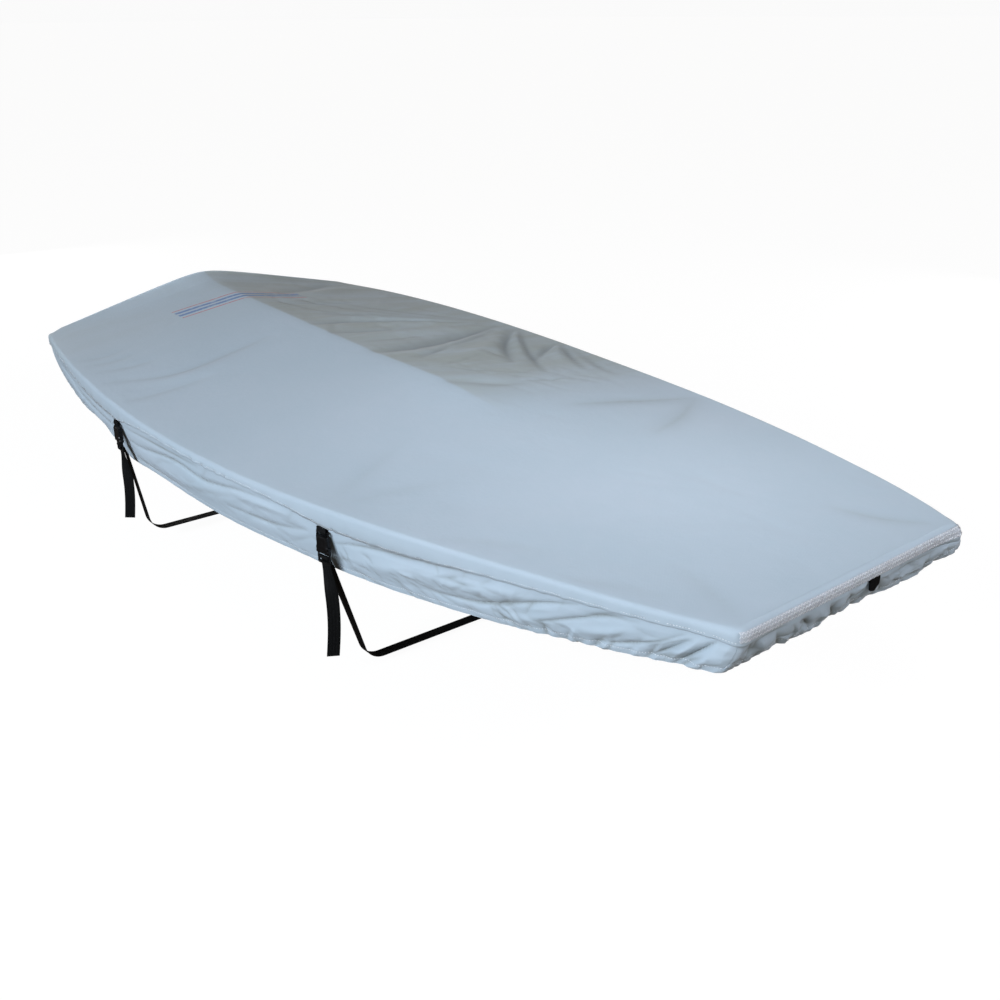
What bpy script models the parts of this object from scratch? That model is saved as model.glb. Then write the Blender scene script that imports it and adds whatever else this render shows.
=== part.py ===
"""Fitted top cover for a small pram dinghy, with two buckled belly straps.

The cover is modelled as it sits on its boat, which is not built. Metres, +Z up. The origin is on
the boat's centreline, half way along it, in the plane of its edge. +X points to the bow and +Y to
port. Every cloth piece is a closed sheet, made from an outer face and an inner face.
"""

import math
from collections import namedtuple

import bmesh
import bpy
from mathutils import Matrix, Vector

# ---------------------------------------------------------------- driving dimensions
LENGTH = 2.320  # over the top panel, bow to stern
PANEL_SHEET = 0.0020  # coated cloth of the top, doubled where it turns down
SKIRT_SHEET = 0.0015
HEM_SHEET = 0.0034  # the skirt's edge, folded over its elastic
GAP = 0.0003  # between pieces that touch
EDGE_ROLL = 0.009  # radius where the top turns down over the boat's edge
AFT_CORNER = 0.018  # corner radii seen from above
BOW_CORNER = 0.014
SIDE_SEAM = 0.027  # depth of the seam under the edge, at the corners and the stern
SEAM_LAP = 0.0010  # the band ends this much below its seam
LAP_TOP = 0.0120  # the skirt is sewn in from here, below the edge
LAP_LEAST = 0.0065  # and from at least this much above the seam
LAP_TUCK = 0.0006  # how much further in its top edge lies, behind the band
SKIRT_BILLOW = 0.004
STERN_LEAN = 0.20  # how far the skirt draws in for each metre down
END_RAMP = 0.6  # share of half the length where the drawing in of the ends begins
STERN_HEM_RISE = 0.5  # share of the stern's tented rise that its hem follows

TAPE_BOTTOM = 0.0195  # the tape over the bow ends here, below the edge
TAPE_ANGLES = (46, 68, 90)  # round the edge's roll, in degrees
TAPE_SHEET = 0.0012

WEBBING_WIDTH = 0.025
WEBBING_SHEET = 0.0015
BUCKLE_TOP = 0.0475  # below the boat's edge
BUCKLE_OUT = -0.0020  # the buckle's middle, outside the boat's edge
BAR_HALF = 0.0015  # half the height and thickness of a buckle's bars
SLOT_HALF_WIDTH = 0.01375
TAB_SKEW = 0.004  # how far aft of its buckle a tab is sewn
TAB_START = 0.0018  # the webbing shows from this far below the seam
WRAP_RADIUS = 1.45 * BAR_HALF + GAP + 0.0001 + WEBBING_SHEET / 2  # webbing's middle round a bar

# The edge: share of the length from the stern, half width, height, depth of the hem to
# starboard and to port, and how far the skirt draws in for each metre down.
EDGE_ROWS = (
    (0.00, 0.4790, 0.0000, 0.133, 0.133, 0.20),
    (0.10, 0.5240, 0.0024, 0.140, 0.141, 0.28),
    (0.20, 0.5551, 0.0000, 0.146, 0.144, 0.28),
    (0.30, 0.5722, -0.0050, 0.144, 0.145, 0.28),
    (0.40, 0.5737, -0.0090, 0.141, 0.143, 0.28),
    (0.50, 0.5607, -0.0110, 0.142, 0.140, 0.28),
    (0.60, 0.5338, -0.0080, 0.138, 0.141, 0.28),
    (0.70, 0.4931, -0.0020, 0.139, 0.137, 0.28),
    (0.80, 0.4394, 0.0040, 0.130, 0.129, 0.27),
    (0.87, 0.3945, 0.0070, 0.118, 0.114, 0.24),
    (0.93, 0.3530, 0.0080, 0.104, 0.084, 0.15),
    (1.00, 0.2920, 0.0080, 0.084, 0.047, 0.00),
)
# The ridge over the edge: share of the length, height, crispness, fullness and how softly
# its crest is rounded.
RIDGE_ROWS = (
    (0.000, 0.118, 1.0, 1.00, 0.057),
    (0.026, 0.091, 1.0, 1.05, 0.028),
    (0.085, 0.079, 1.0, 1.12, 0.012),
    (0.240, 0.072, 1.0, 1.12, 0.009),
    (0.400, 0.070, 1.0, 1.12, 0.009),
    (0.500, 0.071, 1.0, 1.12, 0.009),
    (0.540, 0.065, 0.9, 1.12, 0.010),
    (0.580, 0.053, 0.6, 1.12, 0.014),
    (0.640, 0.035, 0.2, 1.12, 0.020),
    (0.720, 0.021, 0.0, 1.12, 0.020),
    (0.850, 0.009, 0.0, 1.12, 0.020),
    (1.000, 0.002, 0.0, 1.12, 0.020),
)
# The bow, from starboard to port: share across, depths of the seam and the hem, and how far
# the skirt draws in for each metre down.
BOW_ROWS = (
    (0.00, 0.027, 0.084, 0.48),
    (0.08, 0.024, 0.080, 0.38),
    (0.16, 0.021, 0.069, 0.32),
    (0.25, 0.020, 0.078, 0.30),
    (0.45, 0.020, 0.071, 0.30),
    (0.62, 0.020, 0.073, 0.30),
    (0.78, 0.021, 0.074, 0.25),
    (0.90, 0.023, 0.060, 0.10),
    (1.00, 0.027, 0.047, -0.05),
)
# Along a side: distance along the boat, depth of the seam, which the straps draw down, and how
# much lower than in the table above the starboard hem hangs.
SIDE_ROWS = (
    (-1.160, 0.0270, 0.000),
    (-1.000, 0.0235, 0.016),
    (-0.896, 0.0220, 0.009),
    (-0.780, 0.0290, -0.017),
    (-0.672, 0.0365, -0.023),
    (-0.600, 0.0385, -0.008),
    (-0.520, 0.0400, 0.013),
    (-0.458, 0.0400, 0.010),
    (-0.385, 0.0275, 0.002),
    (-0.310, 0.0195, 0.000),
    (-0.200, 0.0175, 0.000),
    (-0.100, 0.0175, 0.000),
    (0.000, 0.0180, 0.000),
    (0.120, 0.0190, 0.000),
    (0.220, 0.0225, 0.000),
    (0.300, 0.0310, 0.000),
    (0.360, 0.0400, 0.000),
    (0.460, 0.0425, 0.000),
    (0.530, 0.0415, 0.000),
    (0.600, 0.0385, 0.000),
    (0.706, 0.0305, 0.000),
    (0.818, 0.0270, 0.000),
    (0.950, 0.0230, 0.000),
    (1.072, 0.0200, 0.000),
    (1.120, 0.0205, 0.000),
    (1.160, 0.0270, 0.000),
)

# Where the side's stations lie: from, to (metres from the middle), how many steps.
STATION_RUNS = (
    (-1.100, -0.620, 8),
    (-0.620, -0.040, 24),
    (-0.040, 0.845, 17),
    (0.845, 1.130, 7),
)
CORNER_STEPS = 4
ACROSS = (-1.0, -0.88, -0.74, -0.58, -0.42, -0.27, -0.13, -0.04, 0.0)
# The skirt below its seam: share of the way down to the hem's edge, thickness.
SKIRT_ROWS = (
    (0.11, SKIRT_SHEET),
    (0.25, SKIRT_SHEET),
    (0.41, SKIRT_SHEET),
    (0.57, SKIRT_SHEET),
    (0.73, SKIRT_SHEET),
    (0.88, SKIRT_SHEET),
    (0.91, HEM_SHEET),
    (1.00, HEM_SHEET),
)

# Soft folds: where one starts and ends, how far its middle sags along the second number,
# its height (a trough is negative) and its half width.
Fold = namedtuple("Fold", "x0 y0 x1 y1 sag height width")
# On the top, as x and y: they fan out from the strap ends at the boat's edge.
TOP_FOLDS = (
    Fold(-0.440, 0.55, -0.600, 0.08, 0.0, 0.0060, 0.024),
    Fold(-0.430, 0.55, -0.525, 0.02, 0.0, -0.0060, 0.022),
    Fold(-0.425, 0.55, -0.455, 0.02, 0.0, 0.0070, 0.026),
    Fold(-0.420, 0.55, -0.385, 0.02, 0.0, -0.0065, 0.024),
    Fold(-0.410, 0.55, -0.325, 0.03, 0.0, 0.0070, 0.026),
    Fold(-0.395, 0.55, -0.265, 0.06, 0.0, -0.0060, 0.024),
    Fold(-0.370, 0.55, -0.190, 0.10, 0.0, 0.0050, 0.030),
    Fold(-0.290, 0.52, -0.030, 0.28, 0.0, -0.0060, 0.030),
    Fold(-0.200, 0.55, -0.070, 0.37, 0.0, 0.0050, 0.028),
    Fold(-0.130, 0.55, 0.080, 0.40, 0.0, -0.0045, 0.032),
    Fold(0.060, 0.00, 0.120, 0.40, 0.0, 0.0030, 0.040),
    Fold(-1.050, 0.42, -0.940, 0.16, 0.0, -0.0050, 0.040),
    Fold(-0.590, -0.52, -0.545, -0.14, 0.0, -0.0050, 0.040),
    Fold(-0.450, -0.54, -0.430, -0.10, 0.0, -0.0030, 0.045),
    Fold(-0.780, -0.48, -0.700, -0.30, 0.0, -0.0030, 0.040),
    Fold(0.340, -0.46, 0.240, -0.20, 0.0, -0.0025, 0.050),
    Fold(0.380, 0.46, 0.300, 0.18, 0.0, -0.0030, 0.050),
)
# On the skirt, as distance along the boat and depth below its edge.
STARBOARD_FOLDS = (
    Fold(-0.420, 0.044, -0.045, 0.040, 0.0, -0.0030, 0.010),
    Fold(-0.420, 0.062, 0.150, 0.048, 0.010, 0.0045, 0.013),
    Fold(-0.430, 0.086, 0.230, 0.042, 0.012, -0.0070, 0.013),
    Fold(-0.380, 0.108, 0.280, 0.062, 0.006, 0.0040, 0.015),
    Fold(0.020, 0.088, 0.310, 0.078, 0.004, -0.0050, 0.012),
    Fold(-0.430, 0.124, -0.250, 0.106, 0.0, -0.0040, 0.012),
    Fold(0.370, 0.070, 0.770, 0.044, -0.006, -0.0070, 0.013),
    Fold(0.380, 0.090, 0.700, 0.068, 0.004, 0.0045, 0.013),
    Fold(0.380, 0.112, 0.660, 0.100, 0.010, -0.0050, 0.013),
    Fold(0.620, 0.098, 0.900, 0.042, 0.010, -0.0070, 0.014),
    Fold(0.700, 0.110, 0.930, 0.062, 0.006, 0.0045, 0.013),
    Fold(0.810, 0.096, 0.970, 0.040, 0.0, -0.0055, 0.012),
    Fold(0.925, 0.096, 1.080, 0.042, 0.010, -0.0055, 0.012),
    Fold(1.120, 0.046, 1.080, 0.082, 0.0, 0.0050, 0.014),
    Fold(-1.080, 0.060, -0.460, 0.074, 0.008, -0.0060, 0.014),
    Fold(-0.980, 0.108, -0.470, 0.098, 0.006, -0.0045, 0.013),
)
PORT_FOLDS = (
    Fold(-0.430, 0.070, 0.300, 0.048, 0.016, -0.0065, 0.014),
    Fold(-0.420, 0.092, 0.120, 0.072, 0.008, 0.0045, 0.014),
    Fold(-0.430, 0.112, 0.240, 0.104, 0.008, -0.0050, 0.014),
    Fold(0.375, 0.080, 0.820, 0.044, 0.010, -0.0065, 0.014),
    Fold(0.385, 0.108, 0.720, 0.088, 0.008, 0.0045, 0.013),
    Fold(0.640, 0.104, 0.930, 0.050, 0.008, -0.0055, 0.013),
    Fold(0.900, 0.090, 1.090, 0.044, 0.006, -0.0050, 0.012),
    Fold(-1.060, 0.054, -0.470, 0.082, 0.010, -0.0060, 0.014),
    Fold(-0.900, 0.118, -0.470, 0.104, 0.004, -0.0045, 0.013),
)
# On the two ends, as distance across the boat and depth below its edge.
BOW_FOLDS = (
    Fold(-0.240, 0.040, -0.205, 0.088, 0.0, -0.0050, 0.016),
    Fold(-0.170, 0.036, -0.120, 0.086, 0.0, 0.0040, 0.016),
    Fold(-0.105, 0.034, -0.060, 0.088, 0.0, -0.0050, 0.017),
    Fold(0.020, 0.040, -0.010, 0.084, 0.0, 0.0040, 0.016),
    Fold(0.110, 0.036, 0.080, 0.086, 0.0, -0.0050, 0.018),
    Fold(0.200, 0.036, 0.150, 0.080, 0.0, 0.0040, 0.017),
)
STERN_FOLDS = (
    Fold(-0.400, 0.050, -0.120, 0.110, 0.0, -0.0050, 0.020),
    Fold(-0.200, 0.050, 0.040, 0.120, 0.0, 0.0040, 0.022),
    Fold(0.060, 0.110, 0.240, 0.050, 0.0, -0.0045, 0.020),
    Fold(0.160, 0.120, 0.400, 0.054, 0.0, 0.0040, 0.020),
)

# Where a strap crosses the cover, and the absent boat's corner that it is drawn round there.
Strap = namedtuple("Strap", "name x bilge_half_width bilge_depth tail_end tail_turn tail_aft")
STRAPS = (
    Strap("aft", -0.458, 0.524, 0.340, -0.300, math.radians(50), 0.016),
    Strap("forward", 0.360, 0.432, 0.356, -0.322, math.radians(48), 0.000),
)
BILGE_RADIUS = 0.045
BOTTOM_SAG = 0.010
STRAP_PRESS = 0.030  # how far to each side a strap flattens the skirt's folds
TAIL_TURNED = 0.4  # share of a free tail's length in which it turns

# ---------------------------------------------------------------- finishes
Finish = namedtuple("Finish", "name colour roughness")
COVER_CLOTH = Finish("coated polycotton, blue-grey", (0.47, 0.57, 0.66, 1.0), 0.72)
TAPE_CLOTH = Finish("woven binding tape, pale blue-grey", (0.53, 0.63, 0.72, 1.0), 0.80)
WEBBING = Finish("polypropylene webbing, black", (0.008, 0.009, 0.010, 1.0), 0.70)
ACETAL = Finish("moulded acetal, black", (0.006, 0.007, 0.008, 1.0), 0.38)


# ---------------------------------------------------------------- shared helpers
def smooth(rows, column, at):
    """Reads a column of a table between its rows, along a smooth curve through them."""
    last = len(rows) - 1
    at = min(max(at, rows[0][0]), rows[last][0])
    low = max(i for i in range(last) if rows[i][0] <= at)

    def slope(i):
        before, after = rows[max(i - 1, 0)], rows[min(i + 1, last)]
        return (after[column] - before[column]) / (after[0] - before[0])

    span = rows[low + 1][0] - rows[low][0]
    u = (at - rows[low][0]) / span
    start = (2 * u**3 - 3 * u**2 + 1) * rows[low][column] + (u**3 - 2 * u**2 + u) * slope(low) * span
    end = (3 * u**2 - 2 * u**3) * rows[low + 1][column] + (u**3 - u**2) * slope(low + 1) * span
    return start + end


def folded(folds, x, y):
    """The height that a table of soft folds adds at a place on the cloth."""
    height = 0.0
    for fold in folds:
        run_x, run_y = fold.x1 - fold.x0, fold.y1 - fold.y0
        share = ((x - fold.x0) * run_x + (y - fold.y0) * run_y) / (run_x**2 + run_y**2)
        inside = min(max(share, 0.0), 1.0)
        off_x = x - fold.x0 - inside * run_x
        off_y = y - fold.y0 - inside * run_y - fold.sag * 4 * inside * (1 - inside)
        taper = math.sin(math.pi * (0.12 + 0.76 * inside))
        height += fold.height * taper * math.exp(-(off_x**2 + off_y**2) / fold.width**2)
    return height


def material(finish):
    """The material of a finish, made once."""
    found = bpy.data.materials.get(finish.name)
    if found:
        return found
    made = bpy.data.materials.new(finish.name)
    made.use_nodes = True
    shader = made.node_tree.nodes["Principled BSDF"]
    shader.inputs["Base Color"].default_value = finish.colour
    shader.inputs["Roughness"].default_value = finish.roughness
    shader.inputs["Metallic"].default_value = 0.0
    return made


def add_object(name, mesh, finish):
    """Puts a mesh in the scene under a name, smooth but for its sharp edges."""
    mesh.materials.append(material(finish))
    mesh.shade_smooth()
    mesh.set_sharp_from_angle(angle=math.radians(40))
    made = bpy.data.objects.new(name, mesh)
    bpy.context.scene.collection.objects.link(made)
    return made


def split(points, face):
    """Splits a face into triangles, a quad across its shorter diagonal."""
    if len(face) == 4:
        a, b, c, d = face
        if (points[a] - points[c]).length > (points[b] - points[d]).length:
            return [(a, b, d), (b, c, d)]
    return [(face[0], face[i], face[i + 1]) for i in range(1, len(face) - 1)]


def sheet(name, outer, inner, faces, finish):
    """Makes a closed sheet from its outer points, the inner points behind them and its faces."""
    count = len(outer)
    fronts = [triangle for face in faces for triangle in split(outer, face)]
    edges = {(face[i - 1], face[i]) for face in fronts for i in range(3)}
    walls = [(b, a, a + count, b + count) for a, b in edges if (b, a) not in edges]
    backs = [tuple(i + count for i in reversed(face)) for face in fronts]
    mesh = bpy.data.meshes.new(name)
    mesh.from_pydata([*outer, *inner], [], [*fronts, *backs, *sorted(walls)])
    return add_object(name, mesh, finish)


def ribbon(name, path, across, width, thickness, finish):
    """Makes flat webbing along a path, whose width lies along one given direction at each point."""
    rings = []
    for i, place in enumerate(path):
        ahead = (path[min(i + 1, len(path) - 1)] - path[max(i - 1, 0)]).normalized()
        wide = across[i]
        thick = ahead.cross(wide).normalized()
        sides = ((-1, -1), (1, -1), (1, 1), (-1, 1))
        rings.append([place + wide * (w * width / 2) + thick * (t * thickness / 2) for w, t in sides])
    faces = [tuple(reversed(range(4))), tuple(4 * len(path) - 4 + i for i in range(4))]
    for row in range(len(path) - 1):
        for i in range(4):
            j = (i + 1) % 4
            faces.append((4 * row + i, 4 * row + j, 4 * row + 4 + j, 4 * row + 4 + i))
    mesh = bpy.data.meshes.new(name)
    mesh.from_pydata([corner for ring in rings for corner in ring], [], faces)
    return add_object(name, mesh, finish)


# ---------------------------------------------------------------- the shape of the top
def share_along(x):
    return x / LENGTH + 0.5


def half_width(x):
    return smooth(EDGE_ROWS, 1, share_along(x))


def edge_height(x):
    return smooth(EDGE_ROWS, 2, share_along(x))


def top_height(x, y):
    """Height of the top's outer face: the edge, the ridge that spreads to it, and the folds."""
    ridge, crisp, full, soft = (smooth(RIDGE_ROWS, i, share_along(x)) for i in range(1, 5))
    crisp = min(max(crisp, 0.0), 1.0)
    off = min(math.hypot(y, soft) / math.hypot(half_width(x), soft), 1.0)
    tent = crisp * (1 - off) ** full + (1 - crisp) * (1 - off**2) ** 1.5
    fade = min(1.0, (1 - off) / 0.06)
    return edge_height(x) + ridge * tent + fade * folded(TOP_FOLDS, x, y)


# ---------------------------------------------------------------- the stations round the edge
Station = namedtuple("Station", "zone along place outward edge seam hem lean")


def side_stations():
    """One side's outline from stern to bow, as x and half width, with its two rounded corners."""
    points = []
    for i in range(CORNER_STEPS + 1):
        angle = math.radians(90) * i / CORNER_STEPS
        x = -LENGTH / 2 + AFT_CORNER * (1 - math.cos(angle))
        points.append((x, half_width(x) - AFT_CORNER * (1 - math.sin(angle))))
    for start, end, steps in STATION_RUNS:
        first = 0 if start == STATION_RUNS[0][0] else 1
        xs = [start + (end - start) * i / steps for i in range(first, steps + 1)]
        points += [(x, half_width(x)) for x in xs if x < LENGTH / 2 - BOW_CORNER]
    for i in range(CORNER_STEPS + 1):
        angle = math.radians(90) * (1 - i / CORNER_STEPS)
        x = LENGTH / 2 - BOW_CORNER * (1 - math.cos(angle))
        points.append((x, half_width(x) - BOW_CORNER * (1 - math.sin(angle))))
    return points


def outline():
    """The edge seen from above, anticlockwise from aft starboard: zone, distance along it, x, y."""
    side = side_stations()
    columns = [*ACROSS, *[-f for f in reversed(ACROSS[:-1])]]
    end = len(side) - 1
    found = [("starboard", x, x, -y) for x, y in side]
    found += [("bow", f * side[end][1], side[end][0], f * side[end][1]) for f in columns[1:-1]]
    found += [("port", x, x, y) for x, y in reversed(side)]
    found += [("stern", f * side[0][1], side[0][0], f * side[0][1]) for f in reversed(columns[1:-1])]
    return found, len(side), len(columns)


def depths(zone, x, y):
    """How far the seam and the hem's edge lie below the boat's edge at a station."""
    across = 0.5 + y / (2 * half_width(LENGTH / 2))
    if zone == "bow":
        return smooth(BOW_ROWS, 1, across), smooth(BOW_ROWS, 2, across)
    hem = smooth(EDGE_ROWS, 3 if y < 0 else 4, share_along(x))
    if zone == "starboard":
        hem += smooth(SIDE_ROWS, 2, x)
    if zone == "stern":
        to_port = 0.5 + y / (2 * half_width(x))
        hem = (1 - to_port) * EDGE_ROWS[0][3] + to_port * EDGE_ROWS[0][4]
        hem += (1 - STERN_HEM_RISE) * (top_height(x, y) - edge_height(x))
        return SIDE_SEAM, hem
    return smooth(SIDE_ROWS, 1, x), hem


def drawn_in(x, y):
    """How far the skirt draws in along X and along Y for each metre down."""
    across = 0.5 + y / (2 * half_width(LENGTH / 2))
    ramp = min(max(abs(x) / (LENGTH / 2) - END_RAMP, 0.0) / (1 - END_RAMP), 1.0)
    along = smooth(BOW_ROWS, 3, across) if x > 0 else -STERN_LEAN
    sideways = smooth(EDGE_ROWS, 5, share_along(x)) * y / half_width(x)
    return Vector((along * ramp * ramp * (3 - 2 * ramp), sideways))


def stations():
    """Every station round the edge, with the outward step that moves its edge by one metre."""
    found, rows, columns = outline()
    made = []
    for i, (zone, along, x, y) in enumerate(found):
        before, after = found[i - 1], found[(i + 1) % len(found)]
        first = Vector((y - before[3], before[2] - x)).normalized()
        second = Vector((after[3] - y, x - after[2])).normalized()
        middle = (first + second).normalized()
        outward = middle / middle.dot(first)
        level = top_height(x, y) if zone == "stern" else edge_height(x)
        seam, hem = depths(zone, x, y)
        place = Vector((x, y))
        made.append(Station(zone, along, place, outward, level, seam, hem, drawn_in(x, y)))
    return made, rows, columns


def beside(station, out, down):
    """A point at a station, a distance outside the edge's plan and below the edge."""
    plan = station.place + station.outward * out
    return Vector((plan.x, plan.y, station.edge - down))


def leant(station, place, fall):
    """A point of the hanging cloth, drawn in with the skirt over a distance that it falls."""
    return place - Vector((station.lean.x, station.lean.y, 0)) * max(fall, 0.0)


def round_edge(station, angle, lift):
    """A point over the edge's roll, a distance off it, at an angle from straight up."""
    reach = EDGE_ROLL + lift
    return beside(station, reach * math.sin(angle) - EDGE_ROLL, EDGE_ROLL - reach * math.cos(angle))


# ---------------------------------------------------------------- the cloth
def build_top_panel(edge, rows, columns):
    """The top: a grid under its ridge, with rings that turn it down over the edge to the seam."""
    count = len(edge)
    bow_start, port_start = rows - 1, rows + columns - 2

    def edge_index(row, column):
        if column == 0:
            return row
        if row == rows - 1:
            return bow_start + column
        if column == columns - 1:
            return port_start + (rows - 1 - row)
        return port_start + rows - 1 + (columns - 1 - column) if row == 0 else None

    fractions = [*ACROSS, *[-f for f in reversed(ACROSS[:-1])]]
    outer, inner = [], []
    for angle in (0, 30, 60, 90):
        turn = math.radians(angle)
        outer += [round_edge(station, turn, 0.0) for station in edge]
        inner += [round_edge(station, turn, -PANEL_SHEET) for station in edge]
    for station in edge:
        down = station.seam + SEAM_LAP
        fall = down - SIDE_SEAM - SEAM_LAP
        outer.append(leant(station, beside(station, 0.0, down), fall))
        inner.append(leant(station, beside(station, -PANEL_SHEET, down), fall))
    grid = {}
    for row in range(rows):
        for column in range(columns):
            index = edge_index(row, column)
            if index is None:
                side = outer[row]
                x, y = side.x, -side.y * fractions[column]
                index = len(outer)
                outer.append(Vector((x, y, top_height(x, y))))
                inner.append(outer[-1] - Vector((0, 0, PANEL_SHEET)))
            grid[row, column] = index % count if index < count else index
    faces = []
    for row in range(rows - 1):
        for column in range(columns - 1):
            corners = ((row, column), (row + 1, column), (row + 1, column + 1), (row, column + 1))
            faces.append(tuple(grid[corner] for corner in corners))
    for ring in range(4):
        for i in range(count):
            j = (i + 1) % count
            base = ring * count
            faces.append((base + i, base + count + i, base + count + j, base + j))
    return sheet("top_panel", outer, inner, faces, COVER_CLOTH)


def build_bow_tape(edge, rows, columns):
    """The tape sewn over the turned-down edge at the bow, from corner to corner."""
    half = CORNER_STEPS // 2
    run = edge[rows - 1 - half : rows + columns - 2 + half + 1]
    count = len(run)
    outer, inner = [], []
    for angle in TAPE_ANGLES:
        turn = math.radians(angle)
        outer += [round_edge(station, turn, GAP + TAPE_SHEET) for station in run]
        inner += [round_edge(station, turn, GAP) for station in run]
    outer += [beside(station, GAP + TAPE_SHEET, TAPE_BOTTOM) for station in run]
    inner += [beside(station, GAP, TAPE_BOTTOM) for station in run]
    faces = []
    for ring in range(len(TAPE_ANGLES)):
        for i in range(ring * count, ring * count + count - 1):
            faces.append((i, count + i, count + i + 1, i + 1))
    return sheet("bow_tape", outer, inner, faces, TAPE_CLOTH)


def skirt_place(station, folds, down, depth):
    """A point of the skirt at a distance below the edge, a depth behind its outer face."""
    free = max(down - station.seam, 0.0)
    share = free / (station.hem - station.seam)
    pressed = 1.0
    if station.zone in ("starboard", "port"):
        for strap in STRAPS:
            pressed *= 1 - math.exp(-(((station.along - strap.x) / STRAP_PRESS) ** 2))
    swell = SKIRT_BILLOW * math.sin(math.pi * share) + folded(folds, station.along, down)
    swell *= pressed * min(1.0, 4 * share)
    place = beside(station, swell - PANEL_SHEET - GAP - depth, down)
    return leant(station, place, down - min(station.seam, SIDE_SEAM))


def build_skirt(zone, edge, folds):
    """One side or end of the skirt: sewn in behind the turned-down edge, and hemmed below."""
    last = len(edge) - 1
    outer, inner, columns = [], [], []
    for i, station in enumerate(edge):
        if i in (0, last):
            neighbour = edge[1 if i == 0 else last - 1]
            step = (neighbour.place - station.place).normalized() * (GAP / 2 + 0.0001)
            station = station._replace(place=station.place + step)
        lap = min(LAP_TOP, station.seam - LAP_LEAST)
        levels = [(lap, SKIRT_SHEET), (station.seam + 0.0015, SKIRT_SHEET)]
        free = station.hem - station.seam
        levels += [(station.seam + share * free, thickness) for share, thickness in SKIRT_ROWS]
        columns.append(len(outer))
        for down, thickness in levels:
            tuck = LAP_TUCK if down == lap else 0.0
            outer.append(skirt_place(station, folds, down, tuck))
            inner.append(skirt_place(station, folds, down, tuck + thickness))
    height = columns[1]
    faces = []
    for i in range(last):
        for row in range(height - 1):
            a, b = columns[i] + row, columns[i + 1] + row
            faces.append((a, a + 1, b + 1, b))
    return sheet("skirt_" + zone, outer, inner, faces, COVER_CLOTH)


def build_skirts(edge, rows, columns):
    """The four lengths of skirt, which meet half way round each corner."""
    half = CORNER_STEPS // 2
    bow_start, port_start = rows - 1, rows + columns - 2
    stern_start = port_start + rows - 1
    ring = [*edge, *edge]
    pieces = (
        ("starboard", half, bow_start - half, STARBOARD_FOLDS),
        ("bow", bow_start - half, port_start + half, BOW_FOLDS),
        ("port", port_start + half, stern_start - half, PORT_FOLDS),
        ("stern", stern_start - half, len(edge) + half, STERN_FOLDS),
    )
    for zone, start, end, folds in pieces:
        run = ring[start : end + 1]
        if zone in ("bow", "stern"):
            run = [s._replace(along=s.place.y) for s in run]
        build_skirt(zone, run, folds)


# ---------------------------------------------------------------- the buckles
# Cross-sections of each half, from the buckle's top: how far down, half width, half thickness.
SOCKET_SECTIONS = (
    (0.0000, 0.0150, 0.0011),
    (0.0010, 0.0166, 0.0015),
    (0.0080, 0.0168, 0.0016),
    (0.0100, 0.0150, 0.0050),
    (0.0118, 0.0146, 0.0057),
    (0.0290, 0.0146, 0.0057),
    (0.0325, 0.0165, 0.0057),
    (0.0372, 0.0162, 0.0052),
)
CLIP_SECTIONS = (
    (0.0376, 0.0162, 0.0050),
    (0.0400, 0.0171, 0.0053),
    (0.0440, 0.0171, 0.0046),
    (0.0462, 0.0171, 0.0016),
    (0.0645, 0.0171, 0.0016),
    (0.0658, 0.0168, 0.0019),
    (0.0676, 0.0155, 0.0013),
)
# Slots for webbing: top and bottom, down from the buckle's top.
SOCKET_SLOT = (0.0030, 0.0085)
CLIP_SLOTS = ((0.0468, 0.0525), (0.0555, 0.0622))
# A prong of the clip and the channel that it lies in: near and far edge from the middle.
PRONG = (0.0092, 0.0124)
PRONG_TOP = 0.0180
PRONG_HALF = 0.0028
PRONG_BULGE = (0.0190, 0.0300, 0.0152)  # from, to, how far out


def section_loft(sections):
    """A closed mesh through chamfered cross-sections, from a table of them."""
    made = bmesh.new()
    rings = []
    for down, wide, thick in sections:
        cut = 0.35 * thick
        outline_points = (
            (-wide, -thick + cut),
            (-wide + cut, -thick),
            (wide - cut, -thick),
            (wide, -thick + cut),
            (wide, thick - cut),
            (wide - cut, thick),
            (-wide + cut, thick),
            (-wide, thick - cut),
        )
        rings.append([made.verts.new((x, y, -down)) for x, y in outline_points])
    for upper, lower in zip(rings, rings[1:]):
        for i in range(8):
            j = (i + 1) % 8
            made.faces.new((upper[j], upper[i], lower[i], lower[j]))
    made.faces.new(rings[0])
    made.faces.new(reversed(rings[-1]))
    bmesh.ops.recalc_face_normals(made, faces=made.faces)
    return made


def add_block(made, low, high):
    """Adds a plain block to a mesh, from its two corners."""
    before = set(made.verts)
    bmesh.ops.create_cube(made, size=1.0)
    size = Vector(high) - Vector(low)
    middle = (Vector(high) + Vector(low)) / 2
    for vert in set(made.verts) - before:
        vert.co = Vector((vert.co.x * size.x, vert.co.y * size.y, vert.co.z * size.z)) + middle


def cutter(name, blocks, place):
    """A guide made of blocks, which a Boolean takes away."""
    made = bmesh.new()
    for low, high in blocks:
        add_block(made, low, high)
    mesh = bpy.data.meshes.new(name)
    made.to_mesh(mesh)
    made.free()
    guide = bpy.data.objects.new(name, mesh)
    bpy.context.scene.collection.objects.link(guide)
    guide.matrix_world = place
    guide.hide_render = True
    guide.display_type = "WIRE"
    return guide


def slot_block(slot):
    """A slot for the webbing, right through a buckle."""
    through = 0.02
    return ((-SLOT_HALF_WIDTH, -through, -slot[1]), (SLOT_HALF_WIDTH, through, -slot[0]))


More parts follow.
